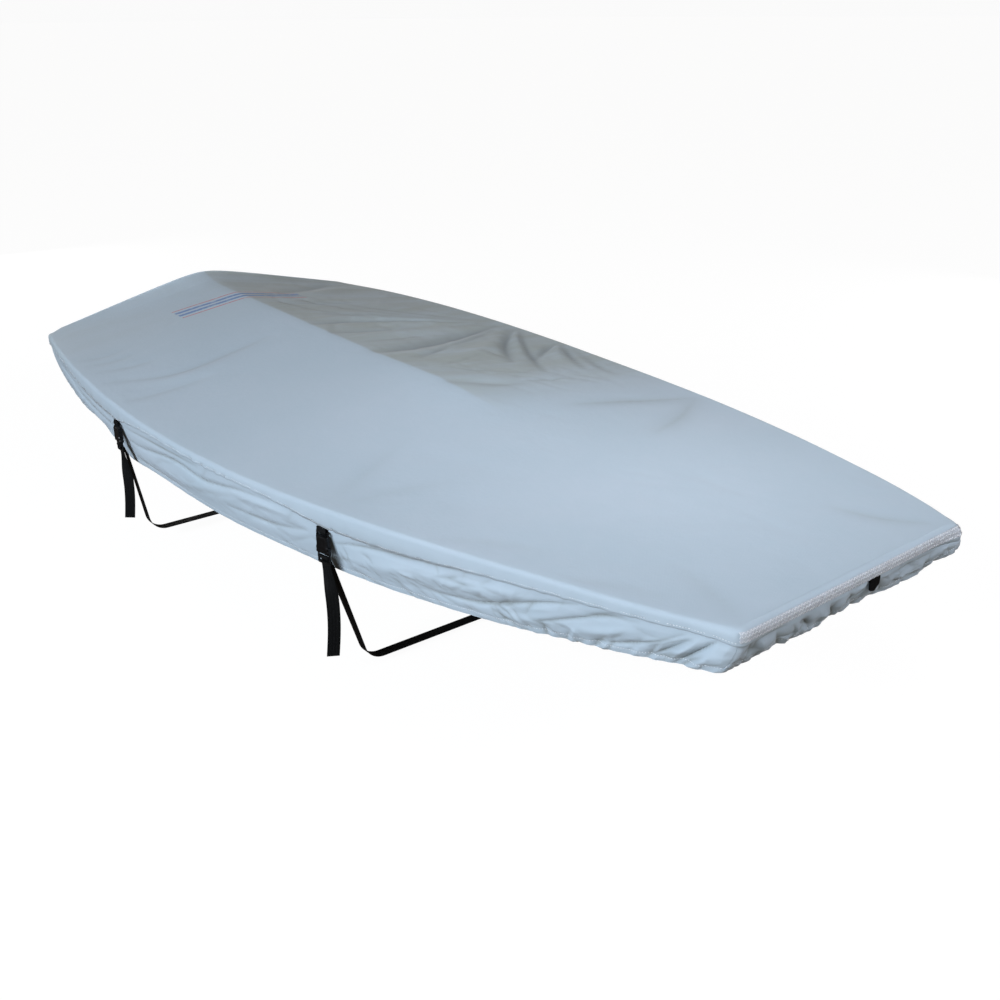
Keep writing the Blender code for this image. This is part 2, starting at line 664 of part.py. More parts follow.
def build_buckle(strap, place):
    """The two halves of a side-release buckle, clipped together."""
    for half, sections in (("socket", SOCKET_SECTIONS), ("clip", CLIP_SECTIONS)):
        shape = section_loft(sections)
        mesh = bpy.data.meshes.new(half)
        shape.to_mesh(mesh)
        shape.free()
        made = add_object(f"buckle_{half}_{strap.name}", mesh, ACETAL)
        made.matrix_world = place
        if half == "socket":
            channel = GAP + PRONG_HALF
            blocks = [slot_block(SOCKET_SLOT)]
            for side in (-1, 1):
                near, far = sorted((side * (PRONG[0] - GAP), side * (PRONG[1] + GAP)))
                blocks.append(((near, -channel, -0.05), (far, channel, -PRONG_TOP + GAP)))
            guides = [cutter(f"socket_channels_{strap.name}", blocks, place)]
            windows = []
            for side in (-1, 1):
                near, far = sorted((side * (PRONG[1] - 0.0010), side * 0.03))
                upper, lower = PRONG_BULGE[0] - 2 * GAP, PRONG_BULGE[1] + 0.0015
                windows.append(((near, -channel, -lower), (far, channel, -upper)))
            guides.append(cutter(f"socket_windows_{strap.name}", windows, place))
            operation = "DIFFERENCE"
        else:
            guides = [cutter(f"clip_slots_{strap.name}", [slot_block(s) for s in CLIP_SLOTS], place)]
            operation = "DIFFERENCE"
        for guide in guides:
            cut = made.modifiers.new(guide.name, "BOOLEAN")
            cut.operation = operation
            cut.object = guide
        if half == "clip":
            arms = []
            for side in (-1, 1):
                near, far = sorted((side * PRONG[0], side * PRONG[1]))
                arms.append(((near, -PRONG_HALF, -0.040), (far, PRONG_HALF, -PRONG_TOP)))
            guide = cutter(f"clip_arms_{strap.name}", arms, place)
            join = made.modifiers.new(guide.name, "BOOLEAN")
            join.operation = "UNION"
            join.object = guide
            catches = []
            for side in (-1, 1):
                near, far = sorted((side * (PRONG[1] - 0.001), side * PRONG_BULGE[2]))
                catches.append(((near, -PRONG_HALF, -PRONG_BULGE[1]), (far, PRONG_HALF, -PRONG_BULGE[0])))
            guide = cutter(f"clip_catches_{strap.name}", catches, place)
            join = made.modifiers.new(guide.name, "BOOLEAN")
            join.operation = "UNION"
            join.object = guide


# ---------------------------------------------------------------- the webbing
def arc(centre, radius, start, end, steps):
    """Points of an arc in the plane of (out, down), from one angle to another in degrees."""
    angles = [math.radians(start + (end - start) * i / steps) for i in range(steps + 1)]
    return [(centre[0] + radius * math.cos(a), centre[1] - radius * math.sin(a)) for a in angles]


def rounded(points, radius, steps):
    """A path whose inner corners are rounded by arcs of one radius."""
    path = [points[0]]
    for before, corner, after in zip(points, points[1:], points[2:]):
        into, out_of = (corner - before).normalized(), (after - corner).normalized()
        turn = into.angle(out_of)
        reach = radius * math.tan(turn / 2)
        centre = corner + (out_of - into).normalized() * (radius / math.cos(turn / 2))
        start = corner - into * reach - centre
        axis = into.cross(out_of).normalized()
        for i in range(steps + 1):
            path.append(centre + Matrix.Rotation(turn * i / steps, 3, axis) @ start)
    return [*path, points[-1]]


def strap_place(strap, side):
    """The frame of a strap's fittings: on the boat's edge, X along it, -Y out of it and Z up."""
    x, step = strap.x, 0.01
    y = side * half_width(x)
    slope = (half_width(x + step) - half_width(x - step)) / (2 * step)
    turn = math.atan(side * slope) + (math.pi if side > 0 else 0.0)
    return Matrix.Translation((x, y, edge_height(x))) @ Matrix.Rotation(turn, 4, "Z")


def build_tab(strap, place):
    """The webbing loop that is sewn in under the tape and holds the buckle's socket by its bar."""
    bar = (BUCKLE_OUT, BUCKLE_TOP + BAR_HALF)
    top = smooth(SIDE_ROWS, 1, strap.x) + TAB_START
    path = [(-0.0022, top), *arc(bar, WRAP_RADIUS, 15, -195, 10), (-0.0040, top)]
    points = []
    for out, down in path:
        share = min(max((BUCKLE_TOP - down) / (BUCKLE_TOP - top), 0.0), 1.0)
        points.append(place @ Vector((-TAB_SKEW * share, -out, -down)))
    across = [place.to_3x3() @ Vector((1, 0, 0))] * len(points)
    ribbon(f"webbing_tab_{strap.name}", points, across, WEBBING_WIDTH, WEBBING_SHEET, WEBBING)


def build_belly_strap(strap, place):
    """One length of webbing: from the port seam under the boat, through the clip, to its free tail."""
    port = strap_place(strap, 1)
    sewn_end = port @ Vector((0, 0.0025, -(smooth(SIDE_ROWS, 1, strap.x) + TAB_START)))
    bilge, depth = strap.bilge_half_width, strap.bilge_depth
    middle_bar = (BUCKLE_OUT, BUCKLE_TOP + 0.0540)
    load = ((-0.0120, 0.0760), (-0.0066, 0.0625), (-0.0044, 0.0565))
    load = [(BUCKLE_OUT + out, BUCKLE_TOP + down) for out, down in load]
    load_points = [place @ Vector((0, -out, -down)) for out, down in load]
    corners = [
        sewn_end,
        Vector((strap.x, bilge, -depth)),
        Vector((strap.x, 0.0, -depth - BOTTOM_SAG)),
        Vector((strap.x, -bilge, -depth)),
        load_points[0],
    ]
    path = rounded(corners, BILGE_RADIUS, 6)
    across = [Vector((1, 0, 0))] * len(path)
    tilt_port, tilt_starboard = (p.to_3x3() @ Vector((1, 0, 0)) for p in (port, place))
    across[0] = -tilt_port
    across[-1] = tilt_starboard
    threaded = [*load[1:], *arc(middle_bar, WRAP_RADIUS, 190, -75, 10)]
    behind = BUCKLE_OUT - 0.0019 - GAP - WEBBING_SHEET / 2 - 0.0002
    threaded += [(BUCKLE_OUT - 0.0014, BUCKLE_TOP + 0.0578)]
    threaded += [(behind + 0.0002, BUCKLE_TOP + 0.0592)]
    threaded += [(behind, BUCKLE_TOP + 0.0620), (behind, BUCKLE_TOP + 0.0690)]
    path += [place @ Vector((0, -out, -down)) for out, down in threaded]
    across += [tilt_starboard] * len(threaded)
    start = path[-1]
    steps = 10
    for i in range(1, steps + 1):
        share = i / steps
        swing = math.sin(math.pi * share)
        drop = start.z + (strap.tail_end - start.z) * share
        forward = 0.007 * swing - strap.tail_aft * share
        path.append(Vector((start.x + forward, start.y + 0.004 * swing, drop)))
        turned = math.sin(min(share / TAIL_TURNED, 1.0) * math.pi / 2) ** 2
        turn = Matrix.Rotation(strap.tail_turn * turned, 3, "Z")
        across.append(turn @ tilt_starboard)
    ribbon(f"belly_strap_{strap.name}", path, across, WEBBING_WIDTH, WEBBING_SHEET, WEBBING)


def build_bow_tab():
    """The short doubled webbing tab under the tape at the bow, with its lower corner folded off."""
    thickness = 0.0030
    corners = ((0.026, 0.0213), (0.028, 0.0430), (0.040, 0.0452), (0.053, 0.0360), (0.053, 0.0213))
    back = LENGTH / 2 - 0.0015
    outer, inner = [], []
    for y, down in corners:
        level = edge_height(LENGTH / 2) - down
        outer.append(Vector((back + thickness, y, level)))
        inner.append(Vector((back, y, level)))
    faces = [tuple(range(len(corners)))]
    sheet("bow_tab", outer, inner, faces, WEBBING)


def main():
    for old in list(bpy.data.objects):
        bpy.data.objects.remove(old, do_unlink=True)
    edge, rows, columns = stations()
    build_top_panel(edge, rows, columns)
    build_bow_tape(edge, rows, columns)
    build_skirts(edge, rows, columns)
    for strap in STRAPS:
        place = strap_place(strap, -1)
        buckle_place = place @ Matrix.Translation((0, -BUCKLE_OUT, -BUCKLE_TOP))
        build_tab(strap, place)
        build_buckle(strap, buckle_place)
        build_belly_strap(strap, place)
    build_bow_tab()


main()
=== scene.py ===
"""Looks of a fitted top cover for a small pram dinghy, with two buckled belly straps.

The file is laid out as an add-on: the sizes and colours are properties, every piece or group of like
pieces has an operator, and a panel in the 3D view's sidebar lists them. Metres, +Z up. The origin is
on the boat's centreline, half way along it, in the plane of its edge. +X points to the bow, +Y to port.
"""

import math
from collections import namedtuple

import bpy
import numpy as np
from mathutils import Matrix, Vector


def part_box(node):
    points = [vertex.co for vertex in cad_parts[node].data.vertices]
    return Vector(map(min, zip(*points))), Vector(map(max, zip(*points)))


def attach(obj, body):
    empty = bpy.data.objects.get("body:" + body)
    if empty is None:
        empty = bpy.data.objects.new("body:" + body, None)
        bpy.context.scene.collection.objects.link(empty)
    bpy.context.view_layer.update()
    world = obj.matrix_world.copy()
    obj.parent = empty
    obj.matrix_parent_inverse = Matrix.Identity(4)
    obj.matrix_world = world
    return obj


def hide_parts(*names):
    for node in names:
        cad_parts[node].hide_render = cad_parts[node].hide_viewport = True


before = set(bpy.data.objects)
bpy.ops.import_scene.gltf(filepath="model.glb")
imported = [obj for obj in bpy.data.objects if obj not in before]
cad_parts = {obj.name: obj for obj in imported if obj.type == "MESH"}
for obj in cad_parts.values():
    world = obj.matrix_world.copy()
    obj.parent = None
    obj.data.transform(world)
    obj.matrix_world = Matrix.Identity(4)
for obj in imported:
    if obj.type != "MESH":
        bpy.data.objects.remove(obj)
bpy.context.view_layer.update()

bl_info = {
    "name": "Dinghy top cover",
    "version": (1, 0, 0),
    "blender": (4, 5, 0),
    "location": "View3D > Sidebar > Cover",
    "description": "Builds a fitted cloth cover for a small pram dinghy, with buckled belly straps",
    "category": "Object",
}

# ---------------------------------------------------------------- the cut of the cover
PANEL_LOW, PANEL_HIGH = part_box("top_panel")
LENGTH = round(PANEL_HIGH.x - PANEL_LOW.x, 3)  # over the top panel, bow to stern
PANEL_SHEET = 0.0020  # coated cloth of the top, doubled where it turns down
TOP_SOLID = 0.0018  # its thickness as drawn, which leaves room for the skirt behind it
SKIRT_SHEET = 0.0014
HEM_SHEET = 0.0032  # the skirt's edge, folded over its elastic
GAP = 0.0003  # between pieces that touch
CORNER_SLIT = 0.0005  # between two lengths of skirt
EDGE_ROLL = 0.009  # radius where the top turns down over the boat's edge
BOW_ROLL = 0.0135  # the same at the bow, which is rounder
BOW_ROLL_START, BOW_ROLL_RAMP = 0.09, 0.08  # it begins this far from the bow, and is full after this
CORNER_FLARE, FLARE_REACH = 0.007, 0.045  # how far the cloth stands out at the port bow corner, and how near
AFT_CORNER = 0.018  # corner radii seen from above
BOW_CORNER = 0.015
SIDE_SEAM = 0.027  # depth of the seam under the edge, at the corners and the stern
SEAM_LAP = 0.0010  # the band ends this much below its seam
LAP_TOP = 0.0120  # the skirt is sewn in from here, below the edge
LAP_LEAST = 0.0065  # and from at least this much above the seam
SKIRT_BILLOW = 0.004
SKIRT_FLAT = 0.2  # share of the skirt's depth, below its seam, where the folds are held flatter
STERN_LEAN = 0.20  # how far the skirt draws in for each metre down
END_RAMP = 0.6  # share of half the length where the drawing in of the ends begins
STERN_HEM_RISE = 0.5  # share of the stern's tented rise that its hem follows
STERN_HEM_DROP = 0.03  # how much lower than the stern's corners its puckers begin
HEM_CHANNEL = 0.011  # height of the stitched channel that holds the elastic
HEM_STEP = 0.0015  # the cloth thickens to it over this height
HEM_SINK, SINK_REACH = 0.0007, 0.0022  # how far the thread that closes it sinks in, and how near it

TAPE_WIDE = 0.015  # the tape holds the band flat this far from the bow
TAPE_BOTTOM = 0.0198  # the tape over the bow ends here, below the edge
TAPE_SHEET = 0.0011
TAPE_PUCKER = 0.0007  # half the depth of the tape's puckers between its stitches
BAND_PUCKER = 0.0016  # the same for the turned-down band
TAPE_SLANT = 0.30  # how far the tape's puckers slant along it for each metre across
TAPE_COLUMNS = (200, 200)
TOP_ANGLES = (0, 18, 36, 54, 72, 90)  # of the top's rings round the edge's roll, in degrees
TAPE_ANGLES = (46, 54, 62, 70, 80, 90)  # the same for the tape
BAND_SHARES = (0.25, 0.5, 0.75, 1.0)  # from the roll down to the seam, or to the tape's end

WEBBING_SHEET = 0.0015
BUCKLE_TOP = 0.0475  # below the boat's edge
BUCKLE_OUT = -0.0020  # the buckle's middle, outside the boat's edge
BAR_HALF = 0.0015  # half the height and thickness of a buckle's bars
TAB_SKEW = 0.004  # how far aft of its buckle a tab is sewn
TAB_START = 0.0018  # the webbing shows from this far below the seam
WRAP_RADIUS = 1.45 * BAR_HALF + GAP + 0.0001 + WEBBING_SHEET / 2  # webbing's middle round a bar
TAB_FRONT, TAB_BACK = -0.0022, -0.0040  # the tab's two ends at the seam, outside the boat's edge
TAB_WRAP, CLIP_WRAP = (15, -195, 20), (190, -75, 20)  # round their bars: from and to in degrees, steps
MIDDLE_BAR = 0.0540  # the clip's bar that the belly strap turns round, below the buckle's top
CLIP_BACK = -0.0021 - GAP - WEBBING_SHEET / 2  # the free tail's middle, behind the clip
# A belly strap into its clip, and its tail out of it: how far outside the buckle's middle and
# below its top.
STRAP_LOADED = ((-0.0120, 0.0760), (-0.0066, 0.0625), (-0.0044, 0.0565))
TAIL_FREED = ((-0.0014, 0.0578), (CLIP_BACK + 0.0002, 0.0592), (CLIP_BACK, 0.0620), (CLIP_BACK, 0.0690))
TAIL_SWING = (0.007, 0.004)  # how far a free tail swings along the boat and inward, half way down
TAIL_STEPS = 28

# The edge: share of the length from the stern, half width, height, depth of the hem to
# starboard and to port, and how far the skirt draws in for each metre down.
EDGE_ROWS = (
    (0.00, 0.4790, 0.0000, 0.133, 0.133, 0.20),
    (0.10, 0.5240, 0.0024, 0.140, 0.141, 0.28),
    (0.20, 0.5551, 0.0000, 0.146, 0.144, 0.28),
    (0.30, 0.5722, -0.0050, 0.144, 0.145, 0.28),
    (0.40, 0.5737, -0.0090, 0.141, 0.143, 0.28),
    (0.50, 0.5607, -0.0110, 0.142, 0.140, 0.28),
    (0.60, 0.5338, -0.0080, 0.138, 0.141, 0.28),
    (0.70, 0.4931, -0.0020, 0.139, 0.137, 0.28),
    (0.80, 0.4394, 0.0040, 0.130, 0.129, 0.27),
    (0.87, 0.3945, 0.0070, 0.118, 0.114, 0.24),
    (0.93, 0.3530, 0.0080, 0.104, 0.084, 0.15),
    (1.00, 0.2920, 0.0080, 0.084, 0.047, 0.00),
)
# The ridge over the edge: share of the length, height, crispness, fullness and how softly
# its top is rounded.
RIDGE_ROWS = (
    (0.000, 0.118, 1.0, 1.00, 0.057),
    (0.026, 0.091, 1.0, 1.05, 0.028),
    (0.085, 0.079, 1.0, 1.12, 0.012),
    (0.240, 0.072, 1.0, 1.12, 0.009),
    (0.400, 0.070, 1.0, 1.12, 0.009),
    (0.500, 0.071, 1.0, 1.12, 0.009),
    (0.540, 0.065, 0.9, 1.12, 0.010),
    (0.580, 0.053, 0.6, 1.12, 0.014),
    (0.640, 0.035, 0.2, 1.12, 0.020),
    (0.720, 0.021, 0.0, 1.12, 0.020),
    (0.850, 0.009, 0.0, 1.12, 0.020),
    (1.000, 0.002, 0.0, 1.12, 0.020),
)
# The bow, from starboard to port: share across, depths of the seam and the hem, and how far
# the skirt draws in for each metre down.
BOW_ROWS = (
    (0.00, 0.027, 0.084, 0.48),
    (0.08, 0.024, 0.080, 0.38),
    (0.16, 0.021, 0.069, 0.32),
    (0.25, 0.020, 0.078, 0.30),
    (0.45, 0.020, 0.071, 0.30),
    (0.62, 0.020, 0.073, 0.30),
    (0.78, 0.021, 0.074, 0.25),
    (0.90, 0.023, 0.060, 0.10),
    (1.00, 0.027, 0.047, -0.05),
)
# Along a side: distance along the boat, depth of the seam, which the straps draw down, and how
# much lower than usual the starboard hem hangs.
SIDE_ROWS = (
    (-1.160, 0.0270, 0.000),
    (-1.000, 0.0235, 0.016),
    (-0.896, 0.0220, 0.009),
    (-0.780, 0.0290, -0.017),
    (-0.672, 0.0365, -0.023),
    (-0.600, 0.0385, -0.008),
    (-0.520, 0.0400, 0.013),
    (-0.458, 0.0400, 0.010),
    (-0.385, 0.0275, 0.002),
    (-0.310, 0.0195, 0.000),
    (-0.200, 0.0175, 0.000),
    (-0.100, 0.0175, 0.000),
    (0.000, 0.0180, 0.000),
    (0.120, 0.0190, 0.000),
    (0.220, 0.0225, 0.000),
    (0.300, 0.0310, 0.000),
    (0.360, 0.0400, 0.000),
    (0.460, 0.0425, 0.000),
    (0.530, 0.0415, 0.000),
    (0.600, 0.0385, 0.000),
    (0.706, 0.0305, 0.000),
    (0.818, 0.0270, 0.000),
    (0.950, 0.0230, 0.000),
    (1.072, 0.0200, 0.000),
    (1.120, 0.0205, 0.000),
    (1.160, 0.0270, 0.000),
)

# A strap: where it crosses the cover, the absent boat's corner that it is drawn round there,
# and how its free tail hangs.
Strap = namedtuple("Strap", "name x bilge_half_width bilge_depth tail_end tail_turn tail_aft")
STRAPS = (
    Strap("aft", -0.458, 0.524, 0.340, -0.300, math.radians(50), 0.016),
    Strap("forward", 0.360, 0.432, 0.356, -0.322, math.radians(48), 0.000),
)
BILGE_RADIUS, BILGE_STEPS = 0.045, 14
SEWN_IN = 0.0025  # how far inside the boat's edge a belly strap is sewn to the port seam
BOTTOM_SAG = 0.010
STRAP_PRESS = 0.030  # how far to each side a strap flattens the skirt's folds
TAIL_TURNED = 0.4  # share of a free tail's length in which it turns

# How finely the cloth is drawn. Runs along a side: from, to (metres from the middle), steps.
CORNER_STEPS = 10
TOP_RUNS = ((-1.100, -0.620, 60), (-0.620, 0.150, 170), (0.150, 0.850, 90), (0.850, 1.130, 40))
SKIRT_RUNS = ((-1.100, -0.620, 70), (-0.620, 0.350, 230), (0.350, 1.130, 290))
TOP_COLUMNS = (32, 64)  # starboard and port of the ridge
RIDGE_CLOSER = 1.3  # power of the columns' places, which brings them closer together at the ridge
SKIRT_COLUMNS = (110, 110)
SKIRT_STEPS = 40  # from the seam down to the hem
SKIRT_FIRST, BELOW_SEAM = 0.04, 0.0008  # the first of them as a share of the depth, and a row above it

# ---------------------------------------------------------------- the folds of the cloth
# A fold follows a line of points. A trough's height is negative; crispness 1 is a sharp crease.
Fold = namedtuple("Fold", "line height width crisp")


def fold_table(*rows):
    """Folds, from rows of height, width, crispness and then the points of the line."""
    return tuple(Fold(points, height, width, crisp) for height, width, crisp, *points in rows)


# On the top, as x and y. Most of them fan out from the strap's end at the port edge.
TOP_FOLDS = fold_table(
    (-0.004, 0.014, 0.6, (-0.64, 0.11), (-0.59, 0.29), (-0.47, 0.52)),
    (0.005, 0.02, 0.0, (-0.6, 0.08), (-0.57, 0.24), (-0.47, 0.5)),
    (-0.008, 0.014, 0.6, (-0.539, 0.022), (-0.554, 0.144), (-0.524, 0.322), (-0.44, 0.51)),
    (0.006, 0.018, 0.0, (-0.5, 0.03), (-0.5, 0.2), (-0.475, 0.34), (-0.43, 0.5)),
    (-0.007, 0.013, 0.6, (-0.44, 0.015), (-0.442, 0.12), (-0.44, 0.26), (-0.426, 0.5)),
    (0.009, 0.028, 0.0, (-0.375, 0.05), (-0.39, 0.165), (-0.405, 0.315), (-0.42, 0.5)),
    (-0.003, 0.01, 0.7, (-0.33, 0.04), (-0.345, 0.15), (-0.365, 0.26)),
    (-0.0125, 0.026, 0.45, (-0.236, 0.025), (-0.262, 0.13), (-0.3, 0.25), (-0.345, 0.37), (-0.405, 0.52)),
    (0.006, 0.018, 0.0, (-0.19, 0.06), (-0.215, 0.19), (-0.29, 0.34), (-0.375, 0.49)),
    (-0.0065, 0.014, 0.5, (-0.156, 0.084), (-0.226, 0.217), (-0.291, 0.354), (-0.365, 0.48)),
    (0.0055, 0.03, 0.0, (-0.3, 0.5), (-0.2, 0.33), (-0.11, 0.19)),
    (-0.011, 0.017, 0.5, (-0.36, 0.548), (-0.29, 0.475), (-0.2, 0.385), (-0.057, 0.29)),
    (0.0085, 0.015, 0.0, (-0.352, 0.552), (-0.25, 0.468), (-0.14, 0.4)),
    (-0.008, 0.013, 0.6, (-0.345, 0.555), (-0.211, 0.455), (-0.062, 0.367), (0.052, 0.305)),
    (-0.0075, 0.012, 0.6, (-0.176, 0.545), (-0.127, 0.463), (-0.057, 0.371)),
    (0.0055, 0.014, 0.0, (-0.172, 0.548), (-0.1, 0.48), (-0.01, 0.42)),
    (-0.006, 0.012, 0.6, (-0.165, 0.55), (-0.047, 0.48), (0.067, 0.425)),
    (-0.004, 0.012, 0.5, (-0.112, 0.551), (0.032, 0.49), (0.13, 0.46)),
    (-0.003, 0.008, 0.7, (-0.161, 0.066), (-0.196, 0.15), (-0.216, 0.24)),
    (-0.0026, 0.008, 0.7, (-0.072, 0.09), (-0.1, 0.18), (-0.13, 0.26)),
    (-0.0028, 0.008, 0.7, (-0.042, 0.096), (-0.002, 0.138), (-0.002, 0.198)),
    (-0.0024, 0.008, 0.7, (0.01, 0.16), (0.04, 0.24), (0.03, 0.3)),
    (-0.003, 0.008, 0.7, (0.107, 0.181), (0.12, 0.26), (0.127, 0.33)),
    (-0.0034, 0.01, 0.6, (-0.802, 0.06), (-0.782, 0.157), (-0.772, 0.24)),
    (-0.003, 0.01, 0.6, (-0.812, 0.165), (-0.782, 0.25), (-0.782, 0.34)),
    (-0.0022, 0.016, 0.5, (-0.8, 0.07), (-0.7, 0.12), (-0.6, 0.2)),
    (-0.003, 0.018, 0.4, (-0.86, 0.13), (-0.72, 0.22), (-0.56, 0.38)),
    (-0.0034, 0.02, 0.4, (-0.76, 0.25), (-0.64, 0.36), (-0.5, 0.5)),
    (-0.005, 0.024, 0.3, (-1.08, 0.4), (-1.0, 0.27), (-0.93, 0.13)),
    (0.0035, 0.028, 0.0, (-1.01, 0.44), (-0.95, 0.3), (-0.88, 0.18)),
    (-0.0034, 0.02, 0.3, (0.06, 0.0), (0.082, 0.06), (0.113, 0.114), (0.125, 0.19)),
    (0.0026, 0.03, 0.0, (0.02, 0.02), (0.06, 0.12), (0.09, 0.24)),
    (-0.004, 0.02, 0.4, (-0.604, -0.517), (-0.535, -0.429), (-0.52, -0.335), (-0.54, -0.202),
     (-0.553, -0.12)),
    (0.0022, 0.03, 0.0, (-0.56, -0.5), (-0.49, -0.4), (-0.48, -0.3), (-0.5, -0.18)),
    (-0.0022, 0.014, 0.4, (-0.7, -0.52), (-0.66, -0.44), (-0.655, -0.37)),
    (-0.0024, 0.013, 0.4, (-0.76, -0.515), (-0.735, -0.45), (-0.74, -0.4)),
    (-0.0018, 0.014, 0.4, (-0.81, -0.51), (-0.79, -0.45), (-0.8, -0.39)),
    (-0.002, 0.02, 0.2, (-0.45, -0.54), (-0.435, -0.45), (-0.43, -0.33)),
    (-0.0016, 0.03, 0.2, (0.345, -0.48), (0.3, -0.38), (0.24, -0.25)),
    (-0.0014, 0.03, 0.2, (0.375, -0.48), (0.4, -0.38), (0.45, -0.27)),
    (-0.003, 0.03, 0.3, (0.38, 0.47), (0.33, 0.33), (0.29, 0.18)),
    (-0.0026, 0.03, 0.3, (0.395, 0.46), (0.47, 0.33), (0.52, 0.2)),
    (-0.0014, 0.016, 0.4, (0.62, -0.43), (0.7, -0.37), (0.79, -0.33)),
    (-0.0016, 0.015, 0.4, (0.86, -0.385), (0.93, -0.33), (1.01, -0.3)),
    (-0.0018, 0.02, 0.3, (1.13, -0.26), (1.05, -0.23), (0.96, -0.21)),
    (-0.002, 0.022, 0.3, (1.13, 0.25), (1.06, 0.2), (0.98, 0.17)),
)
# On the skirt, as distance along the boat and depth below its edge.
STARBOARD_FOLDS = fold_table(
    (-0.007, 0.0075, 0.8, (-0.432, 0.083), (-0.345, 0.078), (-0.24, 0.06), (-0.154, 0.052), (-0.062, 0.06),
     (0.012, 0.051), (0.103, 0.036), (0.2, 0.03)),
    (-0.0042, 0.006, 0.8, (-0.42, 0.048), (-0.3, 0.04), (-0.16, 0.032), (-0.06, 0.029)),
    (0.0042, 0.018, 0.0, (-0.4, 0.11), (-0.25, 0.1), (-0.09, 0.09), (0.06, 0.072)),
    (-0.005, 0.0075, 0.8, (0.02, 0.096), (0.118, 0.092), (0.2, 0.085), (0.3, 0.064)),
    (0.004, 0.01, 0.0, (0.06, 0.052), (0.17, 0.046), (0.28, 0.038)),
    (-0.0036, 0.0075, 0.6, (-0.466, 0.128), (-0.3, 0.128), (-0.166, 0.122)),
    (-0.007, 0.0075, 0.85, (0.364, 0.074), (0.468, 0.053), (0.55, 0.045), (0.64, 0.038), (0.73, 0.031)),
    (0.0048, 0.017, 0.0, (0.4, 0.104), (0.5, 0.088), (0.6, 0.076), (0.69, 0.066)),
    (-0.0085, 0.0075, 0.9, (0.606, 0.104), (0.65, 0.1), (0.694, 0.096), (0.754, 0.081), (0.826, 0.055),
     (0.906, 0.03)),
    (0.0045, 0.013, 0.0, (0.64, 0.074), (0.73, 0.06), (0.8, 0.046)),
    (0.0045, 0.011, 0.0, (0.76, 0.108), (0.83, 0.09), (0.89, 0.068)),
    (-0.007, 0.007, 0.9, (0.83, 0.09), (0.848, 0.084), (0.9, 0.063), (0.948, 0.04), (0.985, 0.029)),
    (0.0045, 0.01, 0.0, (0.9, 0.086), (0.96, 0.07), (1.01, 0.05)),
    (-0.0068, 0.007, 0.9, (0.94, 0.097), (1.0, 0.08), (1.046, 0.058), (1.08, 0.032)),
    (0.003, 0.008, 0.0, (1.02, 0.07), (1.06, 0.052), (1.09, 0.036)),
    (0.0062, 0.007, 0.2, (1.146, 0.03), (1.128, 0.06), (1.108, 0.092)),
    (-0.01, 0.0055, 0.9, (1.128, 0.028), (1.11, 0.058), (1.09, 0.09)),
    (0.0058, 0.007, 0.1, (1.106, 0.034), (1.09, 0.062), (1.07, 0.092)),
    (-0.0078, 0.0055, 0.8, (1.092, 0.04), (1.07, 0.066), (1.046, 0.09)),
    (-0.0024, 0.006, 0.7, (0.4, 0.122), (0.448, 0.132), (0.5, 0.15)),
    (-0.0026, 0.006, 0.7, (0.54, 0.086), (0.592, 0.098), (0.66, 0.118)),
    (-0.0026, 0.005, 0.7, (0.732, 0.097), (0.76, 0.11), (0.8, 0.126)),
    (-0.0026, 0.005, 0.7, (0.814, 0.088), (0.846, 0.099), (0.884, 0.118)),
    (-0.006, 0.009, 0.8, (-1.09, 0.056), (-0.9, 0.064), (-0.7, 0.08), (-0.46, 0.074)),
    (0.004, 0.017, 0.0, (-1.06, 0.082), (-0.86, 0.092), (-0.64, 0.1)),
    (-0.0042, 0.008, 0.7, (-1.0, 0.104), (-0.8, 0.116), (-0.6, 0.12), (-0.47, 0.104)),
    (-0.0034, 0.007, 0.7, (-0.8, 0.044), (-0.64, 0.052), (-0.47, 0.046)),
)
PORT_FOLDS = fold_table(
    (-0.008, 0.0115, 0.7, (-0.43, 0.072), (-0.3, 0.084), (-0.1, 0.072), (0.12, 0.05), (0.3, 0.036)),
    (0.0045, 0.013, 0.1, (-0.42, 0.05), (-0.24, 0.058), (-0.06, 0.048)),
    (-0.0058, 0.011, 0.6, (-0.42, 0.112), (-0.22, 0.12), (0.0, 0.104), (0.24, 0.096)),
    (0.0045, 0.014, 0.1, (-0.2, 0.096), (0.0, 0.084), (0.2, 0.07)),
    (-0.008, 0.011, 0.75, (0.375, 0.078), (0.52, 0.07), (0.68, 0.056), (0.82, 0.036)),
    (-0.0065, 0.01, 0.7, (0.385, 0.106), (0.54, 0.112), (0.7, 0.094), (0.84, 0.064)),
    (0.005, 0.013, 0.1, (0.45, 0.092), (0.6, 0.086), (0.74, 0.072)),
    (-0.0068, 0.01, 0.75, (0.72, 0.104), (0.86, 0.08), (0.96, 0.044)),
    (-0.006, 0.009, 0.75, (0.9, 0.08), (1.02, 0.06), (1.1, 0.034)),
    (0.005, 0.009, 0.2, (1.135, 0.034), (1.11, 0.05), (1.08, 0.064)),
    (-0.0072, 0.012, 0.7, (-1.07, 0.052), (-0.86, 0.07), (-0.64, 0.088), (-0.47, 0.084)),
    (0.0045, 0.014, 0.1, (-0.96, 0.086), (-0.76, 0.104), (-0.56, 0.112)),
    (-0.0048, 0.011, 0.6, (-0.92, 0.116), (-0.7, 0.126), (-0.48, 0.108)),
)
